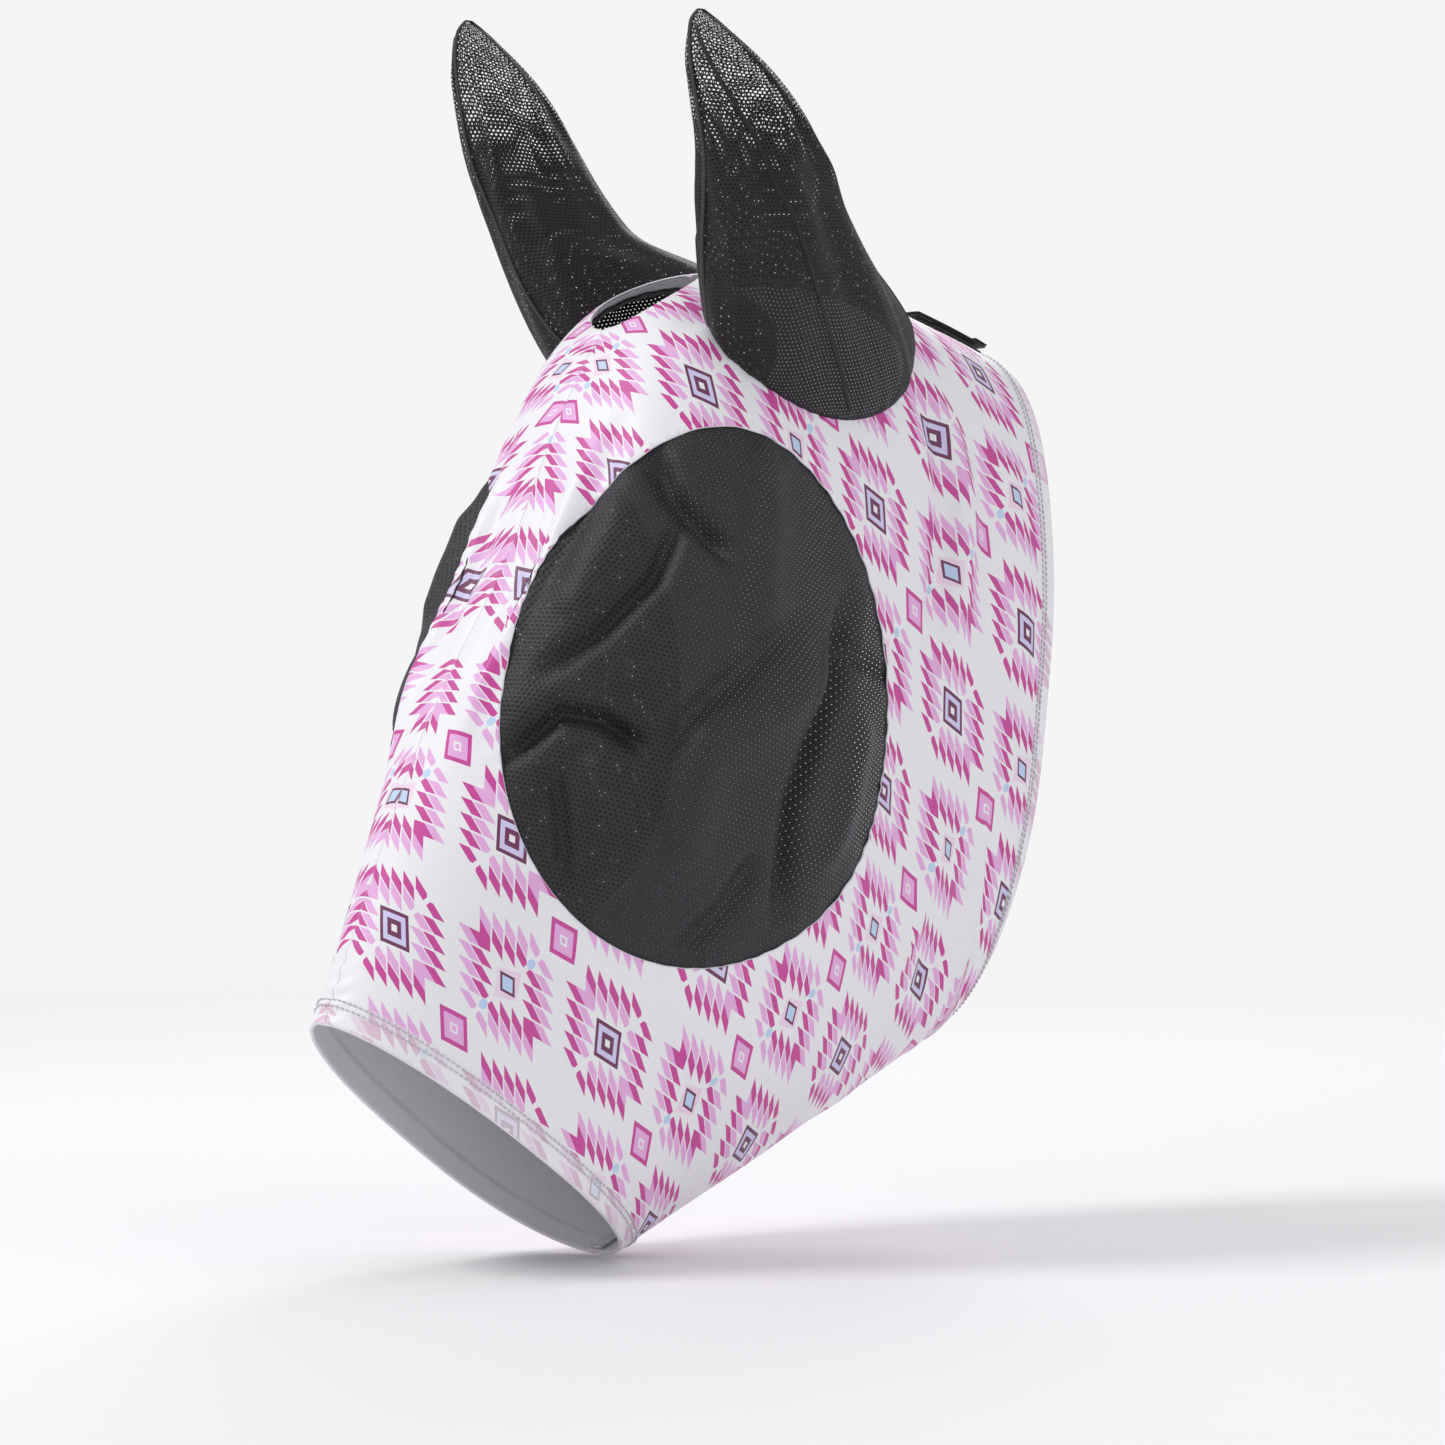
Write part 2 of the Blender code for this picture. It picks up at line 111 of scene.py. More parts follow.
# the ear cover: height, middle x and y, half depth fore and aft, half width
EAR_RINGS = np.array([
    (.0000, .0757, .0030, .052, .034),
    (.0100, .0790, -.0055, .048, .032),
    (.0250, .0837, -.0167, .043, .029),
    (.0550, .0937, -.0305, .037, .024),
    (.0870, .0960, -.0450, .030, .019),
    (.1040, .0960, -.0550, .0235, .0145),
    (.1170, .0957, -.0630, .0155, .0090),
    (.1260, .0952, -.0690, .0075, .0042),
    (.1290, .0950, -.0710, .0040, .0022),
])
SIDES = (("left", 1.0), ("right", -1.0))


def spline(xs, ys, x):
    """Smooth curve through the stated points."""
    n = len(xs)
    h = np.diff(xs)
    m, r = np.eye(n), np.zeros(n)
    for i in range(1, n - 1):
        m[i, i - 1:i + 2] = h[i - 1], 2 * (h[i - 1] + h[i]), h[i]
        r[i] = 6 * ((ys[i + 1] - ys[i]) / h[i] - (ys[i] - ys[i - 1]) / h[i - 1])
    c = np.linalg.solve(m, r)
    x = np.atleast_1d(x)
    k = np.clip(np.searchsorted(xs, x) - 1, 0, n - 2)
    t, u, w = x - xs[k], xs[k + 1] - x, h[k]
    return (c[k] * u**3 + c[k + 1] * t**3) / (6 * w) + (ys[k] / w - c[k] * w / 6) * u \
        + (ys[k + 1] / w - c[k + 1] * w / 6) * t


def unit(v):
    v = np.array(v, float)
    return v / np.linalg.norm(v)


def units(rows):
    """Every vector of an array, at length one."""
    return rows / np.linalg.norm(rows, axis=-1, keepdims=True)


def travelled(path):
    """Distance run along a path at each of its points."""
    return np.r_[0, np.cumsum(np.linalg.norm(np.diff(path, axis=0), axis=1))]


def read_along(at, run, values):
    """What a path's points carry, read at places between them."""
    return np.stack([np.interp(at, run, v) for v in values.T], 1)


def leftward(count):
    return np.tile((1.0, 0, 0), (count, 1))


def station(s):
    return [float(spline(STATIONS[:, 0], STATIONS[:, c], s)[0]) for c in range(1, 9)]


def line_way(s, column):
    """Which way the top line (column 0) or the bottom line (column 2) runs at s."""
    ahead, behind = station(min(s + .02, 1)), station(max(s - .02, 0))
    return unit([behind[k] - ahead[k] for k in (column, column + 1)])


ARC_STEPS = 360          # steps down a half section, the widest point in their middle


def section(s, shares):
    """Points of the left half section at s, and where each lies on the cloth laid flat."""
    ty, tz, by, bz, w, um, nt, nb = station(s)
    a = np.linspace(0, math.pi, ARC_STEPS + 1)
    widest = ARC_STEPS // 2
    c, n = np.cos(a), np.where(np.cos(a) > 0, nt, nb)
    bulge = np.abs(c) ** (2 / n)
    u = np.where(c > 0, um * (1 - bulge), um + (1 - um) * bulge)
    x = w * np.abs(np.sin(a)) ** (2 / n)
    deep = math.hypot(by - ty, bz - tz)
    down = np.array((by - ty, bz - tz)) / deep
    sink = np.diff(u) * deep
    length = np.hypot(np.diff(x), sink)
    run = np.r_[0, np.cumsum(length)]
    # the cloth unrolls about the line it follows, the top one or the bottom one
    steps = np.zeros((ARC_STEPS, 2))
    for half, column in ((slice(0, widest), 0), (slice(widest, ARC_STEPS), 2)):
        way = line_way(s, column)
        square = np.array((-way[1], way[0]))
        square = square if square @ down > 0 else -square
        part = (sink[half] / np.maximum(length[half], 1e-12) * (down @ way))[:, None]
        steps[half] = (part * way + np.sqrt(1 - part**2) * square) * length[half, None]
    flat = np.r_[np.zeros((1, 2)), np.cumsum(steps, axis=0)]
    flat = flat - flat[widest] + np.array((ty, tz)) + down * um * deep
    at = np.asarray(shares) * run[-1]
    x, u, flat_y, flat_z = (np.interp(at, run, v) for v in (x, u, flat[:, 0], flat[:, 1]))
    return np.c_[x, ty + (by - ty) * u, tz + (bz - tz) * u], np.c_[flat_y, flat_z]


def form(s_list, t_list):
    made = [section(s, t_list) for s in s_list]
    return np.array([m[0] for m in made]), np.array([m[1] for m in made])


def grid_normals(grid):
    """Outward normals of a left-half grid, square to the middle plane along its two edges."""
    du, dv = np.gradient(grid, axis=0), np.gradient(grid, axis=1)
    dv[:, 0, 1:], dv[:, -1, 1:] = 0, 0
    n = np.cross(dv, du)
    return units(n)


def frame_of(hole):
    across, along = unit(hole["across"]), unit(hole["along"])
    out = unit(np.cross(across, along))
    if out @ np.array((.5, -.3, .8)) < 0:
        out = -out
    return np.array(hole["middle"]), across, along, out


def outline(hole, angles, grow=0.0, scale=1.0):
    """Points of an opening's egg outline in its own plane, grown by a distance."""
    mid, across, along, _ = frame_of(hole)
    c, s = np.cos(angles), np.sin(angles)
    x = np.where(c > 0, hole["a"][0] + grow, hole["a"][1] + grow) * c * scale
    y = np.where(s > 0, hole["b"][0] + grow, hole["b"][1] + grow) * s * scale
    t = math.radians(hole["turn"])
    return mid + np.outer(x * math.cos(t) - y * math.sin(t), across) \
        + np.outer(x * math.sin(t) + y * math.cos(t), along)


def in_plane(hole, points):
    """Points in an opening's own egg axes: across, along, and height off its plane."""
    mid, across, along, out = frame_of(hole)
    d = points - mid
    u, v, h = d @ across, d @ along, d @ out
    t = math.radians(hole["turn"])
    return u * math.cos(t) + v * math.sin(t), -u * math.sin(t) + v * math.cos(t), h


def outside(hole, points):
    """Roughly how far points lie outside an opening's outline, in metres."""
    x, y, h = in_plane(hole, points)
    a = np.where(x > 0, *hole["a"])
    b = np.where(y > 0, *hole["b"])
    g = (np.hypot(x / a, y / b) - 1) * min(hole["a"] + hole["b"])
    return np.where((h > -hole["reach"][0]) & (h < hole["reach"][1]), g, 1.0)


# ---- soft folds ----
TREE_GRID = form(np.linspace(0, 1, 121), np.linspace(0, 1, 101))[0]


def surface_tree(grid):
    n, m = grid.shape[:2]
    at = np.arange(n * m).reshape(n, m)
    a, b, c, d = at[:-1, :-1], at[1:, :-1], at[1:, 1:], at[:-1, 1:]
    tris = np.concatenate([np.stack(three, -1).reshape(-1, 3) for three in ([a, b, c], [a, c, d])])
    pts = np.r_[grid.reshape(-1, 3), grid.reshape(-1, 3) * (-1, 1, 1)]
    tris = np.r_[tris, tris + n * m]
    return BVHTree.FromPolygons([Vector(p) for p in pts], [tuple(map(int, t)) for t in tris])


HEAD = surface_tree(TREE_GRID)


def smooth(x):
    x = np.clip(x, 0, 1)
    return x * x * (3 - 2 * x)


def ridge(points, path, width, height, ends=.3):
    """Height of a soft fold along a path, full in its middle and fading to its ends."""
    path = np.asarray(path, float)
    steps = np.linalg.norm(np.diff(path, axis=0), axis=1)
    run = np.r_[0, np.cumsum(steps)] / steps.sum()
    near, where = np.full(len(points), 1e9), np.zeros(len(points))
    for k, length in enumerate(steps):
        a, d = path[k], path[k + 1] - path[k]
        t = np.clip((points - a) @ d / length**2, 0, 1)
        gap = np.linalg.norm(points - a - t[:, None] * d, axis=1)
        better = gap < near
        near = np.where(better, gap, near)
        where = np.where(better, run[k] + t * (run[k + 1] - run[k]), where)
    fade = smooth(where / ends) * smooth((1 - where) / ends)
    return height * fade * np.exp(-(near / width) ** 2)


def bowed(path, count=9):
    """A smooth path through a few points, dropped onto the head form."""
    path = np.array(path, float)
    t = np.linspace(0, 1, len(path))
    fine = np.linspace(0, 1, count)
    pts = np.stack([spline(t, path[:, k], fine) if len(path) > 2 else np.interp(fine, t, path[:, k])
                    for k in range(3)], axis=1)
    return np.array([HEAD.find_nearest(Vector(p))[0] for p in pts])


# path on the left side, width, height (less than nothing is a valley)
PANEL_FOLDS = [(bowed(p), w, h) for p, w, h in [
    ([(.080, .090, -.020), (.083, .110, -.085), (.090, .103, -.150), (.092, .090, -.215)], .0065, -.0024),
    ([(.080, .104, -.022), (.083, .124, -.090), (.090, .117, -.160), (.090, .106, -.230)], .0080, .0026),
    ([(.084, .142, -.060), (.086, .142, -.130), (.088, .128, -.190)], .0080, -.0014),
    ([(.078, .165, -.060), (.082, .164, -.150), (.080, .160, -.230)], .0100, .0018),
    ([(.034, -.105, -.075), (.036, -.132, -.140), (.034, -.165, -.200), (.030, -.190, -.260)], .0060, .0024),
    ([(.022, -.105, -.085), (.024, -.140, -.150), (.022, -.172, -.215)], .0060, -.0016),
    ([(.045, -.080, -.062), (.050, -.110, -.110), (.048, -.135, -.160)], .0070, -.0016),
    ([(.088, .105, -.270), (.082, .100, -.320), (.066, .070, -.375)], .0090, .0020),
    ([(.088, .135, -.280), (.076, .128, -.330), (.060, .100, -.385)], .0090, -.0016),
    ([(.058, -.110, -.370), (.062, -.060, -.390), (.058, -.010, -.420)], .0080, .0012),
    ([(.050, -.190, -.330), (.058, -.140, -.350), (.064, -.090, -.365)], .0070, -.0010),
    ([(.060, .006, -.020), (.052, -.022, -.035), (.050, -.052, -.060)], .0070, .0013),
]]


def folds(points):
    """How far the worn fabric stands off the head form."""
    p = np.array(points, float)
    p[:, 0] = np.abs(p[:, 0])
    rise = 2.0 * sum(ridge(p, *f) for f in PANEL_FOLDS)
    x, y, z = p.T
    rise = rise + .0007 * np.sin(46 * y + 21 * z + 9 * x) * np.sin(33 * z - 17 * y) * smooth(x / .03)
    g = np.abs(outside(EYE, p))
    ex, ey, _ = in_plane(EYE, p)
    turn = np.arctan2(ey, ex)
    rise = rise + .00045 * np.sin(58 * turn + 3 * np.sin(5 * turn)) * np.exp(-(g / .006) ** 2)
    g = np.abs(outside(EAR, p))
    rx, ry, _ = in_plane(EAR, p)
    rise = rise + .0004 * np.sin(34 * np.arctan2(ry, rx)) * np.exp(-(g / .005) ** 2)
    # the middle seam draws the fabric in, and puckers it most at the forelock hole and the nose
    rise = rise - .0010 * np.exp(-(x / .0018) ** 2)
    ends = np.exp(-((y + .058) / .016) ** 2) + 1.1 * np.exp(-((y + .226) / .016) ** 2)
    ends = np.where(z > -.40, ends, .35)
    return rise + ends * .0009 * np.sin(1150 * (y * .55 - z * .83)) * np.exp(-(x / .009) ** 2)


# ---- making pieces ----
def piece(name, points, faces, materials, uvs=None, marks=None, picks=None, shade=True):
    """A mesh object, with UV maps and point marks given for its points."""
    mesh = bpy.data.meshes.new(name)
    mesh.from_pydata(np.asarray(points, float).tolist(), [], [tuple(int(i) for i in f) for f in faces])
    mesh.update()
    corner = np.empty(len(mesh.loops), int)
    mesh.loops.foreach_get("vertex_index", corner)
    for key, values in (uvs or {}).items():
        layer = mesh.uv_layers.new(name=key)
        layer.data.foreach_set("uv", np.asarray(values, np.float32)[corner].ravel())
    for key, values in (marks or {}).items():
        mesh.attributes.new(key, "FLOAT", "POINT").data.foreach_set("value", np.asarray(values, np.float32))
    for m in materials:
        mesh.materials.append(m)
    if picks is not None:
        mesh.polygons.foreach_set("material_index", np.asarray(picks, np.int32))
    mesh.polygons.foreach_set("use_smooth", [shade] * len(mesh.polygons))
    ob = bpy.data.objects.new(name, mesh)
    bpy.context.scene.collection.objects.link(ob)
    return ob


def grid_faces(n, m, wrap=False, start=0):
    at = np.arange(n * m).reshape(n, m) + start
    right = np.roll(at, -1, axis=1) if wrap else at[:, 1:]
    left = at if wrap else at[:, :-1]
    return np.stack([left[:-1], left[1:], right[1:], right[:-1]], -1).reshape(-1, 4).tolist()


def seen_from(faces, side):
    """Faces turned over on the mirrored side, so that they still face out."""
    return [tuple(f)[::-1] for f in faces] if side < 0 else faces


# ---- materials ----
def srgb(code):
    part = [int(code[k:k + 2], 16) / 255 for k in (1, 3, 5)]
    return tuple(c / 12.92 if c < .04045 else ((c + .055) / 1.055) ** 2.4 for c in part) + (1,)


class Shader:
    """A material under construction, with short names for the nodes it needs."""

    def __init__(self, name, roughness=.6, sheen=0.0, specular=.4, colour=(1, 1, 1, 1)):
        self.mat = bpy.data.materials.new(name)
        self.mat.use_nodes = True
        self.tree = self.mat.node_tree
        self.bsdf = self.tree.nodes["Principled BSDF"]
        self.bsdf.inputs["Base Color"].default_value = colour
        self.bsdf.inputs["Roughness"].default_value = roughness
        self.bsdf.inputs["Sheen Weight"].default_value = sheen
        self.bsdf.inputs["Specular IOR Level"].default_value = specular

    def put(self, socket, value):
        if isinstance(value, bpy.types.NodeSocket):
            self.tree.links.new(value, socket)
        else:
            socket.default_value = value

    def math(self, kind, *values):
        node = self.tree.nodes.new("ShaderNodeMath")
        node.operation = kind
        for socket, value in zip(node.inputs, values):
            self.put(socket, value)
        return node.outputs[0]

    def between(self, value, low, high):
        above, below = self.math("GREATER_THAN", value, low), self.math("LESS_THAN", value, high)
        return self.math("MULTIPLY", above, below)

    def uv(self, name):
        node = self.tree.nodes.new("ShaderNodeUVMap")
        node.uv_map = name
        split = self.tree.nodes.new("ShaderNodeSeparateXYZ")
        self.tree.links.new(node.outputs[0], split.inputs[0])
        return split.outputs[0], split.outputs[1]

    def mark(self, name):
        node = self.tree.nodes.new("ShaderNodeAttribute")
        node.attribute_name = name
        return node.outputs["Fac"]

    def noise(self, scale):
        node = self.tree.nodes.new("ShaderNodeTexNoise")
        node.inputs["Scale"].default_value = scale
        node.inputs["Detail"].default_value = 2.0
        coords = self.tree.nodes.new("ShaderNodeTexCoord")
        self.tree.links.new(coords.outputs["Object"], node.inputs["Vector"])
        return node.outputs["Fac"]

    def mix(self, share, a, b):
        node = self.tree.nodes.new("ShaderNodeMix")
        node.data_type = "RGBA"
        self.put(node.inputs[0], share)
        self.put(node.inputs[6], a)
        self.put(node.inputs[7], b)
        return node.outputs[2]

    def wave(self, value, pitch):
        """A ridge from 0 to 1 at every pitch along a coordinate in metres."""
        turn = self.math("MULTIPLY", value, 2 * math.pi / pitch)
        return self.math("MULTIPLY_ADD", self.math("SINE", turn), .5, .5)

    def bump(self, height, distance, strength=.6):
        node = self.tree.nodes.new("ShaderNodeBump")
        node.inputs["Strength"].default_value = strength
        node.inputs["Distance"].default_value = distance
        self.tree.links.new(height, node.inputs["Height"])
        self.tree.links.new(node.outputs[0], self.bsdf.inputs["Normal"])

    def colour(self, value):
        self.put(self.bsdf.inputs["Base Color"], value)

    def holes(self, hole):
        """Light passes where the mask is one."""
        self.put(self.bsdf.inputs["Alpha"], self.math("SUBTRACT", 1.0, hole))


LATTICE_Q = 8.9          # motif units in one lattice step
MAGENTA, PINK, PLUM = srgb("#c93b98"), srgb("#e6acdf"), srgb("#6b1c50")
LAVENDER, BLUE, WHITE, BLUSH = srgb("#d2cbf0"), srgb("#bdd5f2"), srgb("#eeedf0"), srgb("#f1d7ea")


def printed_fabric():
    """White stretch satin with stepped diamonds, in the print's own lattice coordinates."""
    s = Shader("printed_stretch_fabric", roughness=.45, sheen=.04, specular=.4)
    m = s.math
    i, j = s.uv("print")
    near_i, near_j = (m("FLOOR", m("ADD", v, .5)) for v in (i, j))
    x, y = (m("MULTIPLY", m("SUBTRACT", v, n), LATTICE_Q) for v, n in ((i, near_i), (j, near_j)))
    is_b = m("ABSOLUTE", m("MODULO", m("ADD", near_i, near_j), 2.0))
    plus, minus = m("ABSOLUTE", m("ADD", x, y)), m("ABSOLUTE", m("SUBTRACT", x, y))
    # everything is folded onto one side of the diamond
    across = m("MULTIPLY", m("SUBTRACT", minus, plus), .5)
    inward = m("MULTIPLY", m("ADD", minus, plus), -.5)
    column = m("ADD", across, 2.25)
    part = m("FRACT", column)
    step = m("SUBTRACT", m("ADD", inward, 3.95), part)
    # gaps between the teeth, and one at the diamond's open corners
    full = m("MULTIPLY", m("LESS_THAN", part, .87), m("GREATER_THAN", plus, .22))
    outer = m("MULTIPLY", m("MULTIPLY", full, s.between(step, 0.0, .85)), s.between(column, 0.0, 5.0))
    inner = m("MULTIPLY", m("MULTIPLY", full, s.between(step, .98, 1.85)), s.between(column, 1.0, 4.0))
    corner = m("MULTIPLY", m("MULTIPLY", full, m("GREATER_THAN", step, .85)), s.between(column, 0.0, 1.0))
    inner = m("MAXIMUM", inner, corner)
    square = m("MAXIMUM", m("ABSOLUTE", x), m("ABSOLUTE", y))
    paint = s.mix(outer, WHITE, s.mix(is_b, MAGENTA, PINK))
    paint = s.mix(inner, paint, s.mix(is_b, PINK, MAGENTA))
    middle_a = s.mix(m("LESS_THAN", square, .90), PLUM, LAVENDER)
    middle_a = s.mix(m("LESS_THAN", square, .55), middle_a, PLUM)
    middle_a = s.mix(m("LESS_THAN", square, .22), middle_a, WHITE)
    only_a = m("MULTIPLY", m("LESS_THAN", square, 1.15), m("SUBTRACT", 1.0, is_b))
    paint = s.mix(only_a, paint, middle_a)
    halo = m("LESS_THAN", m("ADD", m("MULTIPLY", minus, 1 / 2.3), m("MULTIPLY", plus, 1 / 1.5)), 1.0)
    middle_b = s.mix(m("LESS_THAN", square, .60), BLUSH, PLUM)
    middle_b = s.mix(m("LESS_THAN", square, .42), middle_b, BLUE)
    shown = m("MAXIMUM", halo, m("LESS_THAN", square, .60))
    paint = s.mix(m("MULTIPLY", shown, is_b), paint, middle_b)
    long_way = m("POWER", m("MULTIPLY", m("ABSOLUTE", m("SUBTRACT", minus, 4.0)), 1 / .62), 2.0)
    dot = m("LESS_THAN", m("ADD", long_way, m("POWER", m("MULTIPLY", plus, 1 / .36), 2.0)), 1.0)
    paint = s.mix(m("MULTIPLY", dot, is_b), paint, BLUE)
    low_i, low_j = m("FLOOR", i), m("FLOOR", j)
    hx, hy = (m("MULTIPLY", m("SUBTRACT", m("SUBTRACT", v, n), .5), LATTICE_Q)
              for v, n in ((i, low_i), (j, low_j)))
    small = m("MAXIMUM", m("ABSOLUTE", hx), m("ABSOLUTE", hy))
    has_c = m("SUBTRACT", 1.0, m("ABSOLUTE", m("MODULO", m("ADD", low_i, low_j), 2.0)))
    fill_c = s.mix(m("LESS_THAN", small, .78), MAGENTA, PINK)
    fill_c = s.mix(s.between(small, .16, .30), fill_c, WHITE)
    paint = s.mix(m("MULTIPLY", has_c, m("LESS_THAN", small, 1.08)), paint, fill_c)
    # the turned hem shows the print only faintly
    paint = s.mix(m("MULTIPLY", s.mark("hem"), .62), paint, WHITE)
    u, v = s.uv("cloth")
    knit = m("MULTIPLY_ADD", s.wave(u, .0009), .6, m("MULTIPLY", s.wave(v, .0006), .4))
    paint = s.mix(m("MULTIPLY", knit, .035), paint, srgb("#c9bccb"))
    s.colour(s.mix(m("MULTIPLY", s.noise(9.0), .05), paint, srgb("#dcd6e2")))
    s.bump(knit, .00012, .35)
    return s.mat


def plain_cloth(name, colour, hollow_shade_and_tone, pitch_u, pitch_v, depth, roughness, sheen):
    """A woven or knitted cloth in its UV map's metres, with painted shade in the weave's hollows."""
    s = Shader(name, roughness=roughness, sheen=sheen)
    u, v = s.uv("cloth")
    weave = s.math("MULTIPLY", s.wave(u, pitch_u), s.wave(v, pitch_v))
    # painted shade: the colour falls to the shade colour in the weave's hollows, where the bump is low; the
    # noise adds a random tone
    s.colour(s.mix(s.math("MULTIPLY_ADD", weave, .7, s.math("MULTIPLY", s.noise(60.0), .3)), hollow_shade_and_tone, colour))
    s.bump(weave, depth, .7)
    return s.mat


def net_cloth(name, pitch, hole, shaded_pit, light, hollow_shade_and_tone):
    """Open warp-knitted net: offset rows of openings between raised yarns, with painted shade darkening the yarn
    into the hollow round each opening.
    """
    s = Shader(name, roughness=.55, sheen=.03, specular=.35)
    m = s.math
    u, v = s.uv("cloth")
    row = m("MULTIPLY", v, 1 / (pitch * .9))
    offset = m("MULTIPLY", m("ABSOLUTE", m("MODULO", m("FLOOR", row), 2.0)), .5)
    col = m("ADD", m("MULTIPLY", u, 1 / pitch), offset)
    x, y = (m("ABSOLUTE", m("SUBTRACT", m("FRACT", a), .5)) for a in (col, row))
    away = m("POWER", m("ADD", m("POWER", x, 2.4), m("POWER", y, 2.4)), 1 / 2.4)
    size = m("MULTIPLY_ADD", s.mark("dense"), -.6, 1.0)
    s.holes(m("LESS_THAN", away, m("MULTIPLY", size, hole)))
    # painted shade: the colour falls from the yarn's colour to the shade colour in the hollow round each
    # opening, where the bump is low; the noise adds a random tone
    yarn = m("MINIMUM", m("MAXIMUM", m("MULTIPLY", m("SUBTRACT", away, shaded_pit), 1 / (.5 - shaded_pit)), 0.0), 1.0)
    s.colour(s.mix(m("MULTIPLY_ADD", yarn, .8, m("MULTIPLY", s.noise(40.0), .2)), hollow_shade_and_tone, light))
    s.bump(yarn, .0003, .6)
    return s.mat


PRINT = printed_fabric()
# each plain cloth's second colour is painted shade for its weave's hollows, mixed with a random tone
INSIDE = plain_cloth("fabric_inside", srgb("#f1eff2"), srgb("#dfdbe2"), .0009, .0006, .0001, .6, .15)
ALLOWANCE = plain_cloth("seam_allowance", srgb("#efedf0"), srgb("#c4bfc8"), .0016, .0011, .0003, .65, .2)
STITCH = plain_cloth("stitching_thread", srgb("#eeecef"), srgb("#b5b0b9"), .0005, .0005, .0001, .5, .1)
# each net's last colour is painted shade for the hollows round its openings, mixed with a random tone
EYE_NET = net_cloth("eye_net", .0025, .10, .16, srgb("#303034"), srgb("#0a0a0b"))
EAR_NET = net_cloth("ear_net", .0024, .36, .30, srgb("#232325"), srgb("#0a0a0b"))
BINDING = plain_cloth("net_binding", srgb("#1a1a1c"), srgb("#0b0b0c"), .0012, .0008, .0003, .6, .2)
WEBBING = plain_cloth("webbing", srgb("#26262a"), srgb("#08080a"), .0019, .0010, .0004, .62, .2)
HOOKS = plain_cloth("hook_strap", srgb("#3a3a3e"), srgb("#060607"), .0011, .0011, .0006, .42, 0)
LOOPS = plain_cloth("loop_strap", srgb("#2a2a2d"), srgb("#0c0c0e"), .0007, .0007, .0005, .9, .6)


# ---- side panels ----
def kept(points, normals, extra, g):
    """A grid with the openings trimmed out exactly along their outlines."""
    n, m = g.shape
    data = np.concatenate([points, normals, extra], axis=2).reshape(n * m, -1)
    flat = g.ravel()
    rows, index, cuts, faces = [], {}, {}, []

    def corner(k):
        if k not in index:
            index[k] = len(rows)
            rows.append(data[k])
        return index[k]

    def crossing(a, b):
        key = (min(a, b), max(a, b))
        if key not in cuts:
            t = flat[key[0]] / (flat[key[0]] - flat[key[1]])
            cuts[key] = len(rows)
            rows.append(data[key[0]] * (1 - t) + data[key[1]] * t)
        return cuts[key]

    at = np.arange(n * m).reshape(n, m)
    for quad in np.stack([at[:-1, :-1], at[:-1, 1:], at[1:, 1:], at[1:, :-1]], -1).reshape(-1, 4):
        if (flat[quad] <= 0).all():
            continue
        loop = []
        for a, b in zip(quad, np.roll(quad, -1)):
            if flat[a] > 0:
                loop.append(corner(int(a)))
            if (flat[a] > 0) != (flat[b] > 0):
                loop.append(crossing(int(a), int(b)))
        if len(loop) > 2:
            faces.append(tuple(loop))
    return np.array(rows), faces


S_FINE = np.unique(np.r_[np.linspace(0, .035, 15), np.linspace(.035, .965, 172), np.linspace(.965, 1, 15)])
T_FINE = np.unique(np.r_[0, .0006, .002, .004, .007, .011, np.linspace(.016, .985, 150),
                         .99, .994, .997, .9993, 1])
GRID, FLAT = form(S_FINE, T_FINE)
GRID_N = grid_normals(GRID)
HEM = np.maximum(smooth((HEM_S + .0008 - S_FINE) / .0016), smooth((S_FINE - 1 + HEM_S + .0008) / .0016))

# The print on the flat cloth: a motif's middle, the step along its row and how far below level the
# row runs in degrees, and the step straight down
PRINT_START, PRINT_ALONG, PRINT_LEAN, PRINT_DOWN = (-.105, -.390), .062, 30, .072


def lattice(flat):
    """Where a place on the flat cloth falls in the print, counted in motifs along and down."""
    lean = math.radians(PRINT_LEAN)
    y, z = flat[..., 0] - PRINT_START[0], flat[..., 1] - PRINT_START[1]
    along = y / (PRINT_ALONG * math.cos(lean))
    return np.stack([along, -(z + along * PRINT_ALONG * math.sin(lean)) / PRINT_DOWN], -1)


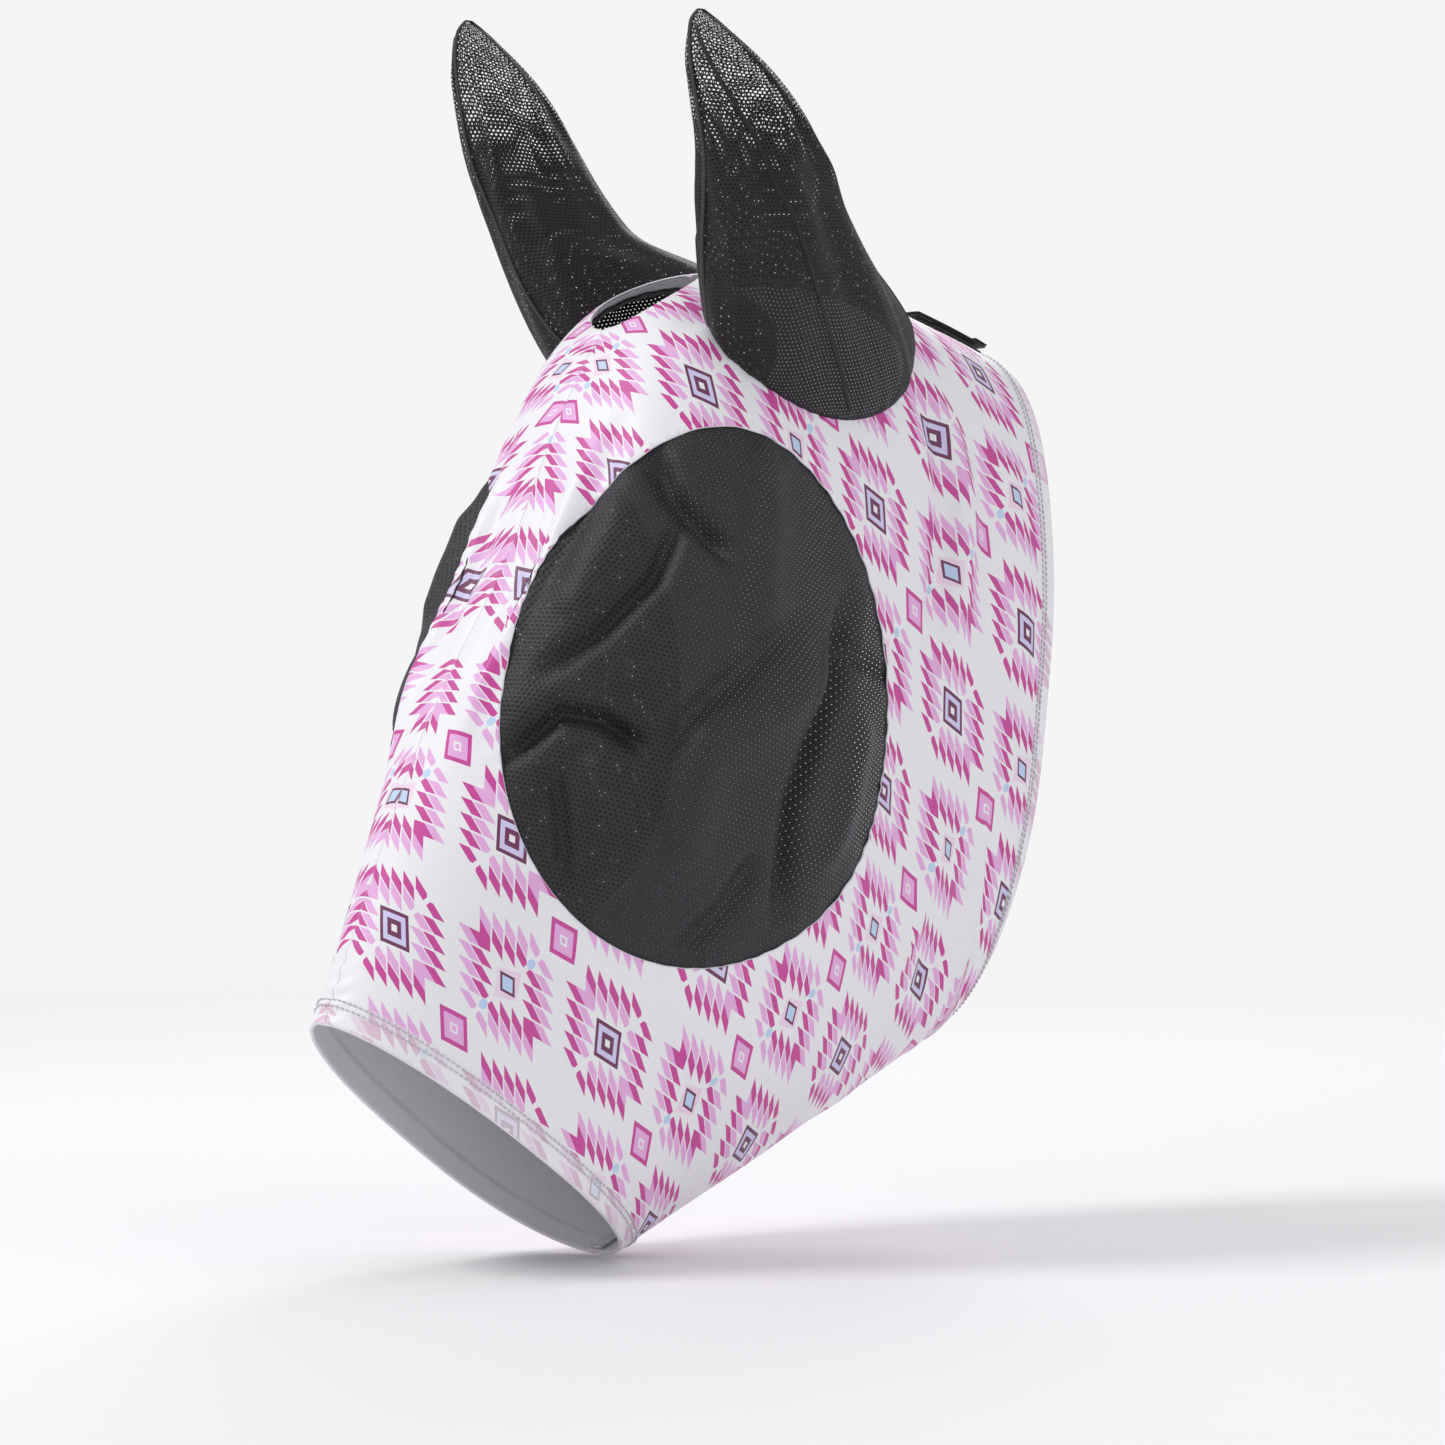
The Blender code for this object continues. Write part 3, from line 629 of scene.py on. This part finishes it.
def side_panel(name, side):
    hem = np.repeat(HEM[:, None], len(T_FINE), axis=1)
    cut = np.minimum.reduce([outside(h, GRID.reshape(-1, 3)) for h in (EYE, EAR, FORELOCK)]).reshape(hem.shape)
    rows, faces = kept(GRID, GRID_N, np.concatenate([lattice(FLAT), FLAT, hem[..., None]], axis=2), cut)
    base, normal = rows[:, :3], units(rows[:, 3:6])
    hem = rows[:, 10]
    top = base + normal * (folds(base) + .0003 * hem)[:, None]
    under = top - normal * (FABRIC + HEM_EXTRA * hem)[:, None]
    for p in (top, under):
        p[:, 0] = np.maximum(p[:, 0], PANEL_GAP)
    # faces run so that their normals point out
    a, b, c = (top[[f[k] for f in faces]] for k in range(3))
    if ((np.cross(b - a, c - a) * normal[[f[0] for f in faces]]).sum(1)).mean() < 0:
        faces = [f[::-1] for f in faces]
    count = len(top)
    used = {}
    for f in faces:
        for p, q in zip(f, f[1:] + f[:1]):
            used[(p, q)] = True
    rim = [e for e in used if (e[1], e[0]) not in used]
    away = np.zeros((count, 3))
    for p, q in rim:
        push = np.cross(top[q] - top[p], normal[p])
        away[[p, q]] += push
    size = np.linalg.norm(away, axis=1, keepdims=True)
    away = np.where(size > 1e-12, away / np.maximum(size, 1e-12), 0)
    on_rim = sorted({k for e in rim for k in e})
    order = {k: 2 * count + n for n, k in enumerate(on_rim)}
    thick = np.linalg.norm(top - under, axis=1)[:, None]
    bead = ((top + under) / 2 + away * thick * .38)[on_rim]
    bead[:, 0] = np.maximum(bead[:, 0], PANEL_GAP)
    everything = np.r_[top, under, bead] * (side, 1, 1)
    inner = [tuple(k + count for k in f[::-1]) for f in faces]
    edge = [(q, p, order[p], order[q]) for p, q in rim] \
        + [(order[q], order[p], p + count, q + count) for p, q in rim]
    all_faces = seen_from(faces + inner + edge, side)
    both = np.r_[np.arange(count), np.arange(count), on_rim]
    picks = [0] * len(faces) + [1] * (len(inner) + len(edge))
    ob = piece(name + "_cloth", everything, all_faces, [PRINT, INSIDE],
               {"print": rows[both, 6:8], "cloth": rows[both, 8:10]}, {"hem": hem[both]}, picks)
    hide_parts(name)
    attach(ob, "mask")
    return ob


# ---- strips, tapes and stitches ----
def strip(name, path, up, side_way, half, thick, look, lift=0.0, ripple=0.0, closed=False, sides=14):
    """A soft flat strip with rounded edges along a path, closed at its ends."""
    path, up, side_way = (np.asarray(v, float) for v in (path, up, side_way))
    n = len(path)
    turn = np.linspace(0, 2 * math.pi, sides, endpoint=False)
    flat_x = np.sign(np.cos(turn)) * np.abs(np.cos(turn)) ** .45
    flat_z = np.sign(np.sin(turn)) * np.abs(np.sin(turn)) ** .75
    run = travelled(path)
    width = half * (1 + ripple * np.sin(run / .0028 * 2 * math.pi))
    ring = path[:, None] + side_way[:, None] * (width[:, None] * flat_x)[..., None] \
        + up[:, None] * (lift + thick / 2 + flat_z * thick / 2)[None, :, None]
    points = ring.reshape(-1, 3)
    uv = np.stack([np.tile(flat_x * half, n), np.repeat(run, sides)], -1)
    faces = grid_faces(n, sides, True)
    if closed:
        end = (n - 1) * sides
        faces += [(end + k, k, (k + 1) % sides, end + (k + 1) % sides) for k in range(sides)]
    else:
        for i, inset in ((0, 1), (n - 1, -1)):
            ahead = path[i] - path[i + inset]
            beyond = ring[i].mean(0) + ahead / max(np.linalg.norm(ahead), 1e-9) * thick * .35
            points, uv = np.r_[points, [beyond]], np.r_[uv, [[0, run[i]]]]
            k0 = i * sides
            for k in range(sides):
                tri = (len(points) - 1, k0 + k, k0 + (k + 1) % sides)
                faces.append(tri if inset > 0 else tri[::-1])
    return piece(name, points, outward(points, faces), [look], {"cloth": uv})


def outward(points, faces):
    """The faces, all turned over if together they enclose a negative volume."""
    total = 0.0
    for f in faces:
        a = points[f[0]]
        for k in range(1, len(f) - 1):
            total += a @ np.cross(points[f[k]], points[f[k + 1]])
    return faces if total > 0 else [tuple(f)[::-1] for f in faces]


CAST_FROM = .12          # how far outside the head a point starts on its way down to the fabric


def on_head(points, out, lift):
    """Points dropped along an opening's axis onto the worn fabric, then off it."""
    landed, normals = [], []
    for p in points:
        hit, normal, _, _ = HEAD.ray_cast(Vector(p + out * CAST_FROM), Vector(-out))
        if normal.dot(Vector(out)) < 0:
            normal = -normal
        landed.append(np.array(hit))
        normals.append(np.array(normal))
    landed, normals = np.array(landed), np.array(normals)
    for _ in range(3):
        normals = units(normals + np.roll(normals, 1, 0) + np.roll(normals, -1, 0))
    return landed + normals * (folds(landed) + lift)[:, None], normals


def round_tape(name, hole, side, look, inside, outside_by, below=.0013):
    """The overlocked seam allowance round an opening, under the fabric."""
    thick = .0009
    angles = np.linspace(0, 2 * math.pi, 220, endpoint=False)
    out = frame_of(hole)[3]
    mid_grow = (outside_by - inside) / 2
    path, normals = on_head(outline(hole, angles, mid_grow), out, 0)
    step = np.roll(path, -1, 0) - np.roll(path, 1, 0)
    across = units(np.cross(step, normals))
    flip = np.array((side, 1, 1))
    ob = strip(name + "_tape", path * flip, normals * flip, across * flip, (outside_by + inside) / 2, thick,
               look, lift=-below - thick, ripple=.07, closed=True)
    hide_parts(name)
    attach(ob, "mask")


def centre_line(column, lines):
    """Points and normals of the head form along its middle, top (0) or bottom (-1)."""
    return GRID[lines, column] * (0, 1, 1), units(GRID_N[lines, column] * (0, 1, 1))


def middle_tape(name, column, lines):
    """The overlocked seam allowance along the top or the bottom of the head."""
    at, n = centre_line(column, lines)
    drop, thick = .0021 + HEM_EXTRA * HEM[lines], .0011
    ob = strip(name + "_tape", at - n * drop[:, None], n, leftward(len(at)), .004, thick, ALLOWANCE,
               lift=-thick, ripple=.08)
    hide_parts(name)
    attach(ob, "mask")


STITCH_LENGTH, STITCH_PITCH, STITCH_RADIUS = .0024, .0031, .00045


def stitches(name, node, path, normals):
    """One needle row: short threads that rise from the fabric and sink into it again."""
    run = travelled(path)
    points, faces = [], []
    turn = np.linspace(0, 2 * math.pi, 5, endpoint=False)
    for start in np.arange(0, run[-1] - STITCH_PITCH / 2, STITCH_PITCH):
        at = start + np.linspace(0, STITCH_LENGTH, 5)
        mid, up = read_along(at, run, path), units(read_along(at, run, normals))
        along = unit(mid[-1] - mid[0])
        across = np.cross(along, up)
        swell = np.sin(np.linspace(.12, math.pi - .12, 5))
        height = .00005 + .00045 * swell
        ring = (mid + up * height[:, None])[:, None] + STITCH_RADIUS * (.55 + .45 * swell)[:, None, None] * (
            across[:, None] * np.cos(turn)[None, :, None] + up[:, None] * np.sin(turn)[None, :, None])
        first = len(points)
        points += ring.reshape(-1, 3).tolist()
        faces += grid_faces(5, 5, True, first)
        faces += [tuple(range(first, first + 5)), tuple(range(first + 24, first + 19, -1))]
    points = np.array(points)
    ob = piece(name, points, outward(points, faces), [STITCH], {"cloth": points[:, 1:]})
    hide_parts(node)
    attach(ob, "mask")


def hem_row(node, s):
    """A needle row all the way round the head at s."""
    lines = form([s - .003, s, s + .003], np.linspace(0, 1, 160))[0]
    half, normals = lines[1], grid_normals(lines)[1]
    half = half + normals * (folds(half) + .0003)[:, None]
    ring = np.r_[half, (half * (-1, 1, 1))[::-1][1:]]
    ring_n = np.r_[normals, (normals * (-1, 1, 1))[::-1][1:]]
    stitches(node + "_threads", node, ring, ring_n)


# ---- eye nets ----
# path in tenths of the way from the net's middle to its edge (back, down), width, height
NET_FOLDS = [
    ([(-6, -9), (-4, -7), (-2, -6), (0, -5)], .0060, -.0120),
    ([(-3, -7), (-4, -4), (-6, -2), (-9, 0)], .0050, -.0080),
    ([(-6, -7), (-7, -4), (-8, -2)], .0110, .0050),
    ([(0, -10), (1, -7), (1, -5), (2, -3)], .0110, .0050),
    ([(6, -4), (3, -1), (0, 1), (0, 4), (0, 8)], .0130, .0080),
    ([(4, -5), (1, -2), (-1, 0), (-2, 3)], .0070, -.0060),
    ([(6, -7), (6, -3), (5, 2), (6, 8)], .0055, -.0130),
    ([(8, -3), (8, 1), (7, 5)], .0080, .0050),
    ([(6, -4), (8, -4), (10, -4)], .0045, -.0080),
    ([(-10, 4), (-7, 1), (-5, 1), (-2, 2)], .0050, -.0110),
    ([(-6, 3), (-4, 3), (-2, 6)], .0070, .0060),
    ([(-7, 3), (-6, 5), (-5, 8)], .0050, -.0060),
    ([(4, 4), (3, 7), (1, 10)], .0065, -.0080),
]


def eye_net(name, side):
    rings, around = 66, 200
    share = np.linspace(.01, 1, rings)
    angles = np.linspace(0, 2 * math.pi, around, endpoint=False)
    out = frame_of(EYE)[3]
    flat = np.concatenate([outline(EYE, angles, .0022, k) for k in share])
    x, y, _ = in_plane(EYE, flat)
    k = np.repeat(share, around)
    plane = np.c_[x, y]
    lift = NET_DOME * (1 - k**2.4)
    half_a, half_b = (np.array(EYE[key]) / 10 for key in ("a", "b"))
    for path, width, height in NET_FOLDS:
        route = [(p * half_a[0 if p > 0 else 1], q * half_b[0 if q > 0 else 1]) for p, q in path]
        lift = lift + ridge(plane, route, width, height, .22) * (1 - k**12)
    turn = np.arctan2(y, x)
    lift = lift + .0013 * np.sin(17 * turn + 2 * np.sin(3 * turn)) * np.exp(-((1 - k) / .16) ** 2) * (1 - k**14)
    lift = lift - .0013 * smooth((k - .90) / .1)
    landed, normals = on_head(flat, out, 0)
    points = (landed + normals * lift[:, None]) * (side, 1, 1)
    faces = grid_faces(rings, around, True)
    points = np.r_[points, [points[:around].mean(0)]]
    uv = np.r_[plane, [[0, 0]]]
    faces += [(len(points) - 1, j, (j + 1) % around) for j in range(around)]
    dense = np.r_[smooth((k - .955) / .03) * .9, 0]
    ob = piece(name + "_cloth", points, seen_from(faces, -side), [EYE_NET], {"cloth": uv}, {"dense": dense})
    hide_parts(name)
    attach(ob, "mask")
    return ob


# ---- ear covers ----
# path as (degrees round from the outer side, height), width, height
EAR_FOLDS = [
    ([(-40, -.012), (-30, .035), (-15, .075), (-30, .105)], .007, -.0034),
    ([(-15, -.015), (-5, .040), (5, .080), (0, .108)], .007, .0030),
    ([(20, -.018), (25, .035), (20, .070), (10, .095)], .006, -.0028),
    ([(50, -.018), (48, .035), (45, .065)], .007, .0026),
    ([(200, -.010), (195, .045), (180, .085)], .007, -.0030),
    ([(150, -.010), (155, .045), (165, .085)], .007, .0026),
    ([(235, .005), (230, .050)], .006, -.0024),
]
EAR_RADIUS = .030        # turns a bearing on the cover into a distance round it
LEFT_TIP, RIGHT_TIP = -.012, .004      # how far each tip is moved up, as the photo's ears differ
CUFF_TOP, CUFF_LOW, CUFF_RINGS = .030, -.030, 35
CUFF_PULL, CUFF_FLARE = .050, .62      # how strongly the cuff leaves its seam, and how far outward


def ear_points(levels, angles):
    """Rings of the ear cover; below CUFF_TOP it swells in a smooth curve from its seam on the head."""
    def ring_at(z):
        x, y, a, b = (float(spline(EAR_RINGS[:, 0], EAR_RINGS[:, c], z)[0]) for c in range(1, 5))
        return np.c_[x + b * np.cos(angles), y + a * np.sin(angles), np.full(len(angles), z)]

    base, _ = on_head(outline(EAR, angles, .0015), frame_of(EAR)[3], -.0012)
    upper = ring_at(CUFF_TOP)
    leave = frame_of(EAR)[3] * CUFF_PULL + (base - base.mean(0)) * CUFF_FLARE
    arrive = (ring_at(CUFF_TOP + .001) - upper) / .001 * CUFF_PULL
    rings = []
    for z in levels:
        if z >= CUFF_TOP:
            rings.append(ring_at(z))
            continue
        t = (z - CUFF_LOW) / (CUFF_TOP - CUFF_LOW)
        rings.append((2 * t**3 - 3 * t**2 + 1) * base + (t**3 - 2 * t**2 + t) * leave
                     + (3 * t**2 - 2 * t**3) * upper + (t**3 - t**2) * arrive)
    return np.array(rings)


def ear_shape(levels, angles, side):
    """The cover's rings with its folds, and its tip where that side's ear has it."""
    rings = ear_points(levels, angles)
    middle = rings.mean(1, keepdims=True)
    away = rings - middle
    away /= np.maximum(np.linalg.norm(away, axis=2, keepdims=True), 1e-9)
    level = np.array(levels)
    rise = np.zeros(rings.shape[:2])
    for path, width, height in EAR_FOLDS:
        reach = np.array(path, float) * (math.pi / 180 * EAR_RADIUS, 1)
        for shift in (-2, -1, 0, 1):
            around = (angles + shift * 2 * math.pi) * EAR_RADIUS
            flat = np.stack(np.meshgrid(level, around, indexing="ij"), -1)[..., ::-1]
            rise += ridge(flat.reshape(-1, 2), reach, width, height, .25).reshape(rise.shape)
    grow = smooth((level - CUFF_LOW) / .025) * smooth((.128 - level) / .03)
    rise = rise * grow[:, None] + .0008 * grow[:, None] * np.sin(11 * angles + level[:, None] * 90)
    rings = rings + away * rise[..., None]
    rings[..., 2] += (LEFT_TIP if side > 0 else RIGHT_TIP) * smooth(rings[..., 2] / .125)
    return rings


def ear_cover(side_name, side):
    levels = np.r_[np.linspace(CUFF_LOW, CUFF_TOP, CUFF_RINGS + 1)[:-1], np.linspace(CUFF_TOP, .129, 66)]
    around = 144
    angles = np.linspace(0, 2 * math.pi, around, endpoint=False) - math.pi / 2
    rings = ear_shape(levels, angles, side)
    n = len(levels)
    closed = np.concatenate([rings, rings[:, :1]], axis=1)
    step = np.linalg.norm(np.diff(closed, axis=1), axis=2)
    half = around // 2
    run = np.concatenate([np.zeros((n, 1)), np.cumsum(step, axis=1)], axis=1)
    u = np.where(np.arange(around + 1) <= half, run, run - run[:, -1:])
    climb = np.linalg.norm(np.diff(closed, axis=0), axis=2)
    v = np.concatenate([np.zeros((1, around + 1)), np.cumsum(climb, axis=0)])
    v = v - v[CUFF_RINGS]
    turn = np.r_[angles, angles[0] + 2 * math.pi]
    edge = np.minimum(np.abs(np.sin(turn / 2 - math.pi / 4)), np.abs(np.cos(turn / 2 - math.pi / 4)))
    # the knit closes up along the two edges and towards the head
    dense = np.clip(smooth((.085 - edge) / .03)[None] + smooth((.095 - levels) / .055)[:, None], 0, 1)
    closed[:, -1] = closed[:, 0]
    points = closed.reshape(-1, 3) * (side, 1, 1)
    tip = rings[-1].mean(0) * (side, 1, 1) + (0, 0, .0006)
    uv = np.stack([u, v], -1).reshape(-1, 2)
    faces = grid_faces(n, around + 1)
    top = (n - 1) * (around + 1)
    faces += [(top + k, len(points), top + k + 1) for k in range(around)]
    points = np.r_[points, [tip]]
    ob = piece(f"{side_name}_ear_cover", points, seen_from(faces, -side), [EAR_NET],
               {"cloth": np.r_[uv, [[0, v[-1].max()]]]}, {"dense": np.r_[dense.ravel(), 1]})
    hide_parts(f"{side_name}_ear_base_net", f"{side_name}_ear_outer_net", f"{side_name}_ear_inner_net")
    bend(ob)
    # bound seam up the front edge, over the tip and down the back
    front, back = rings[:, 0], rings[:, half]
    tip_up = rings[-1].mean(0)
    path = np.r_[front[2:-2], [tip_up + (0, -.0020, .0012)], [tip_up + (0, .0020, .0012)], back[2:-2][::-1]]
    path = read_along(np.linspace(0, len(path) - 1, 260), np.arange(len(path)), path)
    along = units(np.gradient(path, axis=0))
    up = units(np.cross(along, leftward(len(path))))
    if ((path - rings.mean((0, 1))) * up).sum() < 0:
        up = -up
    sideways = np.cross(up, along)
    flip = np.array((side, 1, 1))
    bound = strip(f"{side_name}_ear_binding", path * flip, up * flip, sideways * flip, .0013, .0010, BINDING,
                  lift=-.0002, ripple=.05)
    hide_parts(f"{side_name}_ear_edge_seam")
    bend(bound)
    # the joining seam, from near the tip down the outer face to the seam on the head
    heights, bearings = np.linspace(.122, -.024, 90), np.radians(np.linspace(-62, 8, 90))
    row = np.interp(heights, levels, np.arange(n))
    column = np.interp(bearings, angles, np.arange(around))
    low_row, low_column = row.astype(int), column.astype(int)
    p, q = (row - low_row)[:, None], (column - low_column)[:, None]
    line = (rings[low_row, low_column] * (1 - p) + rings[low_row + 1, low_column] * p) * (1 - q) \
        + (rings[low_row, low_column + 1] * (1 - p) + rings[low_row + 1, low_column + 1] * p) * q
    up = units(line - rings.mean(1)[low_row])
    sideways = units(np.cross(np.gradient(line, axis=0), up))
    joined = strip(f"{side_name}_ear_panel_seam", line * flip, up * flip, sideways * flip, .0011, .0009, BINDING,
                   lift=-.0001, ripple=.08)
    bend(joined)
    return ob, bound


def bend(ob):
    """The object's placement, baked into its mesh."""
    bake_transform(ob)


# ---- halter keeper ----
def crest(share_a, share_b):
    """Points and up directions along the crest between two shares of the keeper's length."""
    line = form(np.linspace(.935, .99, 23), [0, .018])[0][:, 0]
    up = units(np.cross(leftward(len(line)), np.gradient(line, axis=0)))
    if up[0, 2] < 0:
        up = -up
    run = travelled(line)
    at = np.linspace(share_a, share_b, 40) * run[-1]
    return tuple(read_along(at, run, v) for v in (line, up))


def keeper(node, share_a, share_b, low, thick, half, look, body):
    """A strip of the keeper, placed by its CAD node's own box along the crest."""
    pts, ups = crest(share_a, share_b)
    box_low, box_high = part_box(node)
    span = (box_high.y - box_low.y) / (pts[-1, 1] - pts[0, 1])
    pts[:, 1:] = pts[0, 1:] + (pts[:, 1:] - pts[0, 1:]) * span
    pts[:, 1] += box_low.y - pts[0, 1]
    pts[:, 2] = [HEAD.ray_cast(Vector((0, y, .08)), Vector((0, 0, -1)))[0].z for y in pts[:, 1]]
    ob = strip(node + "_soft", pts, ups, leftward(len(pts)), half, thick, look, lift=low, sides=20)
    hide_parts(node)
    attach(ob, body)


# ---- everything in place ----
panels = [side_panel(f"{n}_side_panel", s) for n, s in SIDES]
nets = [eye_net(f"{n}_eye_net", s) for n, s in SIDES]
for side_name, side in SIDES:
    round_tape(f"{side_name}_eye_seam", EYE, side, BINDING, .0012, .0040)
    round_tape(f"{side_name}_ear_base_seam", EAR, side, BINDING, .0010, .0045)
covers = [ear_cover(n, s) for n, s in SIDES]
round_tape("forelock_hem", FORELOCK, 1, INSIDE, -.0003, .0065, below=.0011)

top_y = GRID[:, 0, 1]
clear = FORELOCK["b"][0] * FORELOCK["along"][1] + .008      # the seams stop this far from the hole's middle
face_lines = np.flatnonzero(top_y < FORELOCK["middle"][1] - clear)
crest_lines = np.flatnonzero(top_y > FORELOCK["middle"][1] + clear)
middle_tape("face_seam", 0, face_lines)
middle_tape("crest_seam", 0, crest_lines)
middle_tape("jaw_seam", -1, np.arange(len(S_FINE)))
for node, s in (("nose_stitch_outer_row", .0125), ("nose_stitch_inner_row", .017),
                ("neck_stitch_outer_row", .9875), ("neck_stitch_inner_row", .983)):
    hem_row(node, s)

BASE_TOP = .0010 + THREAD + STRAP
TOP_LOW = BASE_TOP + .0009 + 2 * PATCH
W = KEEPER_WIDTH / 2
keeper("keeper_base_strap", 0, 1, .0010 + THREAD, STRAP, W, WEBBING, "mask")
keeper("keeper_loop_patch", .30, .92, BASE_TOP + .0003, PATCH, W - .0015, LOOPS, "mask")
keeper("keeper_hook_patch", .30, .92, BASE_TOP + .0006 + PATCH, PATCH, W - .0015, HOOKS,
       "keeper_flap")
keeper("keeper_top_strap", .06, 1, TOP_LOW, STRAP, W, WEBBING, "keeper_flap")
keeper("keeper_end_fold", .075, .26, BASE_TOP + .0003, TOP_LOW - BASE_TOP - .0006, W, WEBBING,
       "mask")
keeper("keeper_pull_tab", .86, 1, TOP_LOW + STRAP + .0003, STRAP, W, WEBBING, "keeper_flap")

# ---- floor, light and camera ----
low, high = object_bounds()
floor_mat = Shader("floor", roughness=.75, specular=.2, colour=srgb("#f5f5f6"))
mottle = floor_mat.math("MULTIPLY", floor_mat.noise(3.0), .04)
floor_mat.colour(floor_mat.mix(mottle, srgb("#f6f6f7"), srgb("#e6e6e8")))
ROUND, SHELL, SHELL_RINGS = 96, 12, 24      # points round the floor and backdrop, backdrop radius, its rings
turn = np.linspace(0, 2 * math.pi, ROUND, endpoint=False)
radii = np.array([.02, .6, 1.2, 1.8, 2.6, 3.4, 5.0])
disc = np.concatenate([np.c_[r * np.cos(turn), r * np.sin(turn), np.full(ROUND, low.z - .001)] for r in radii])
floor_mat.put(floor_mat.bsdf.inputs["Alpha"], floor_mat.math("SUBTRACT", 1.0, floor_mat.mark("far")))
floor = piece("floor", disc, grid_faces(len(radii), ROUND, True) + [tuple(range(ROUND - 1, -1, -1))],
              [floor_mat.mat], marks={"far": np.repeat(smooth((radii - .9) / 1.9), ROUND)}, shade=False)
# a plain bright backdrop that the camera sees and that lights nothing
glow = bpy.data.materials.new("backdrop")
glow.use_nodes = True
for key, value in (("Base Color", (0, 0, 0, 1)), ("Specular IOR Level", 0),
                   ("Emission Color", (1, 1, 1, 1)), ("Emission Strength", .91)):
    glow.node_tree.nodes["Principled BSDF"].inputs[key].default_value = value
tilt = np.linspace(.02, math.pi - .02, SHELL_RINGS)
shell = np.concatenate([np.c_[SHELL * math.sin(a) * np.cos(turn), SHELL * math.sin(a) * np.sin(turn),
                              np.full(ROUND, SHELL * math.cos(a))] for a in tilt])
backdrop = piece("backdrop", shell, grid_faces(SHELL_RINGS, ROUND, True), [glow])
backdrop.visible_diffuse = backdrop.visible_shadow = backdrop.visible_glossy = False
backdrop.visible_transmission = backdrop.visible_volume_scatter = False

world = bpy.data.worlds.new("studio")
bpy.context.scene.world = world
world.use_nodes = True
world.node_tree.nodes["Background"].inputs[0].default_value = (.97, .975, 1, 1)
world.node_tree.nodes["Background"].inputs[1].default_value = .64


def lamp(name, place, aim, size, power):
    data = bpy.data.lights.new(name, "AREA")
    data.shape, data.size, data.size_y, data.energy = "RECTANGLE", size[0], size[1], power
    ob = bpy.data.objects.new(name, data)
    ob.location = place
    ob.rotation_euler = (Vector(aim) - Vector(place)).to_track_quat("-Z", "Y").to_euler()
    bpy.context.scene.collection.objects.link(ob)


AIM = (0, 0, -.22)
lamp("key", (-.9, -1.9, 1.9), AIM, (.9, .9), 40)
lamp("side", (2.4, .5, .5), AIM, (.9, 1.4), 7)
lamp("rim", (-1.4, 1.8, 1.3), AIM, (1.0, 1.0), 14)

# the photo's view: level, 50 degrees round to the horse's left, from 2.4 m
BACK = Vector((.766, -.643, 0)).normalized()
LOOK_AT, DISTANCE, LENS = Vector((.026, .001, -.232)), 2.4, 116.6
camera = bpy.data.objects.new("camera", bpy.data.cameras.new("camera"))
camera.data.sensor_width, camera.data.lens = 36, LENS
camera.location = LOOK_AT + BACK * DISTANCE
camera.rotation_euler = (-BACK).to_track_quat("-Z", "Y").to_euler()
bpy.context.scene.collection.objects.link(camera)
bpy.context.scene.camera = camera
bpy.context.scene.view_settings.view_transform = "Standard"
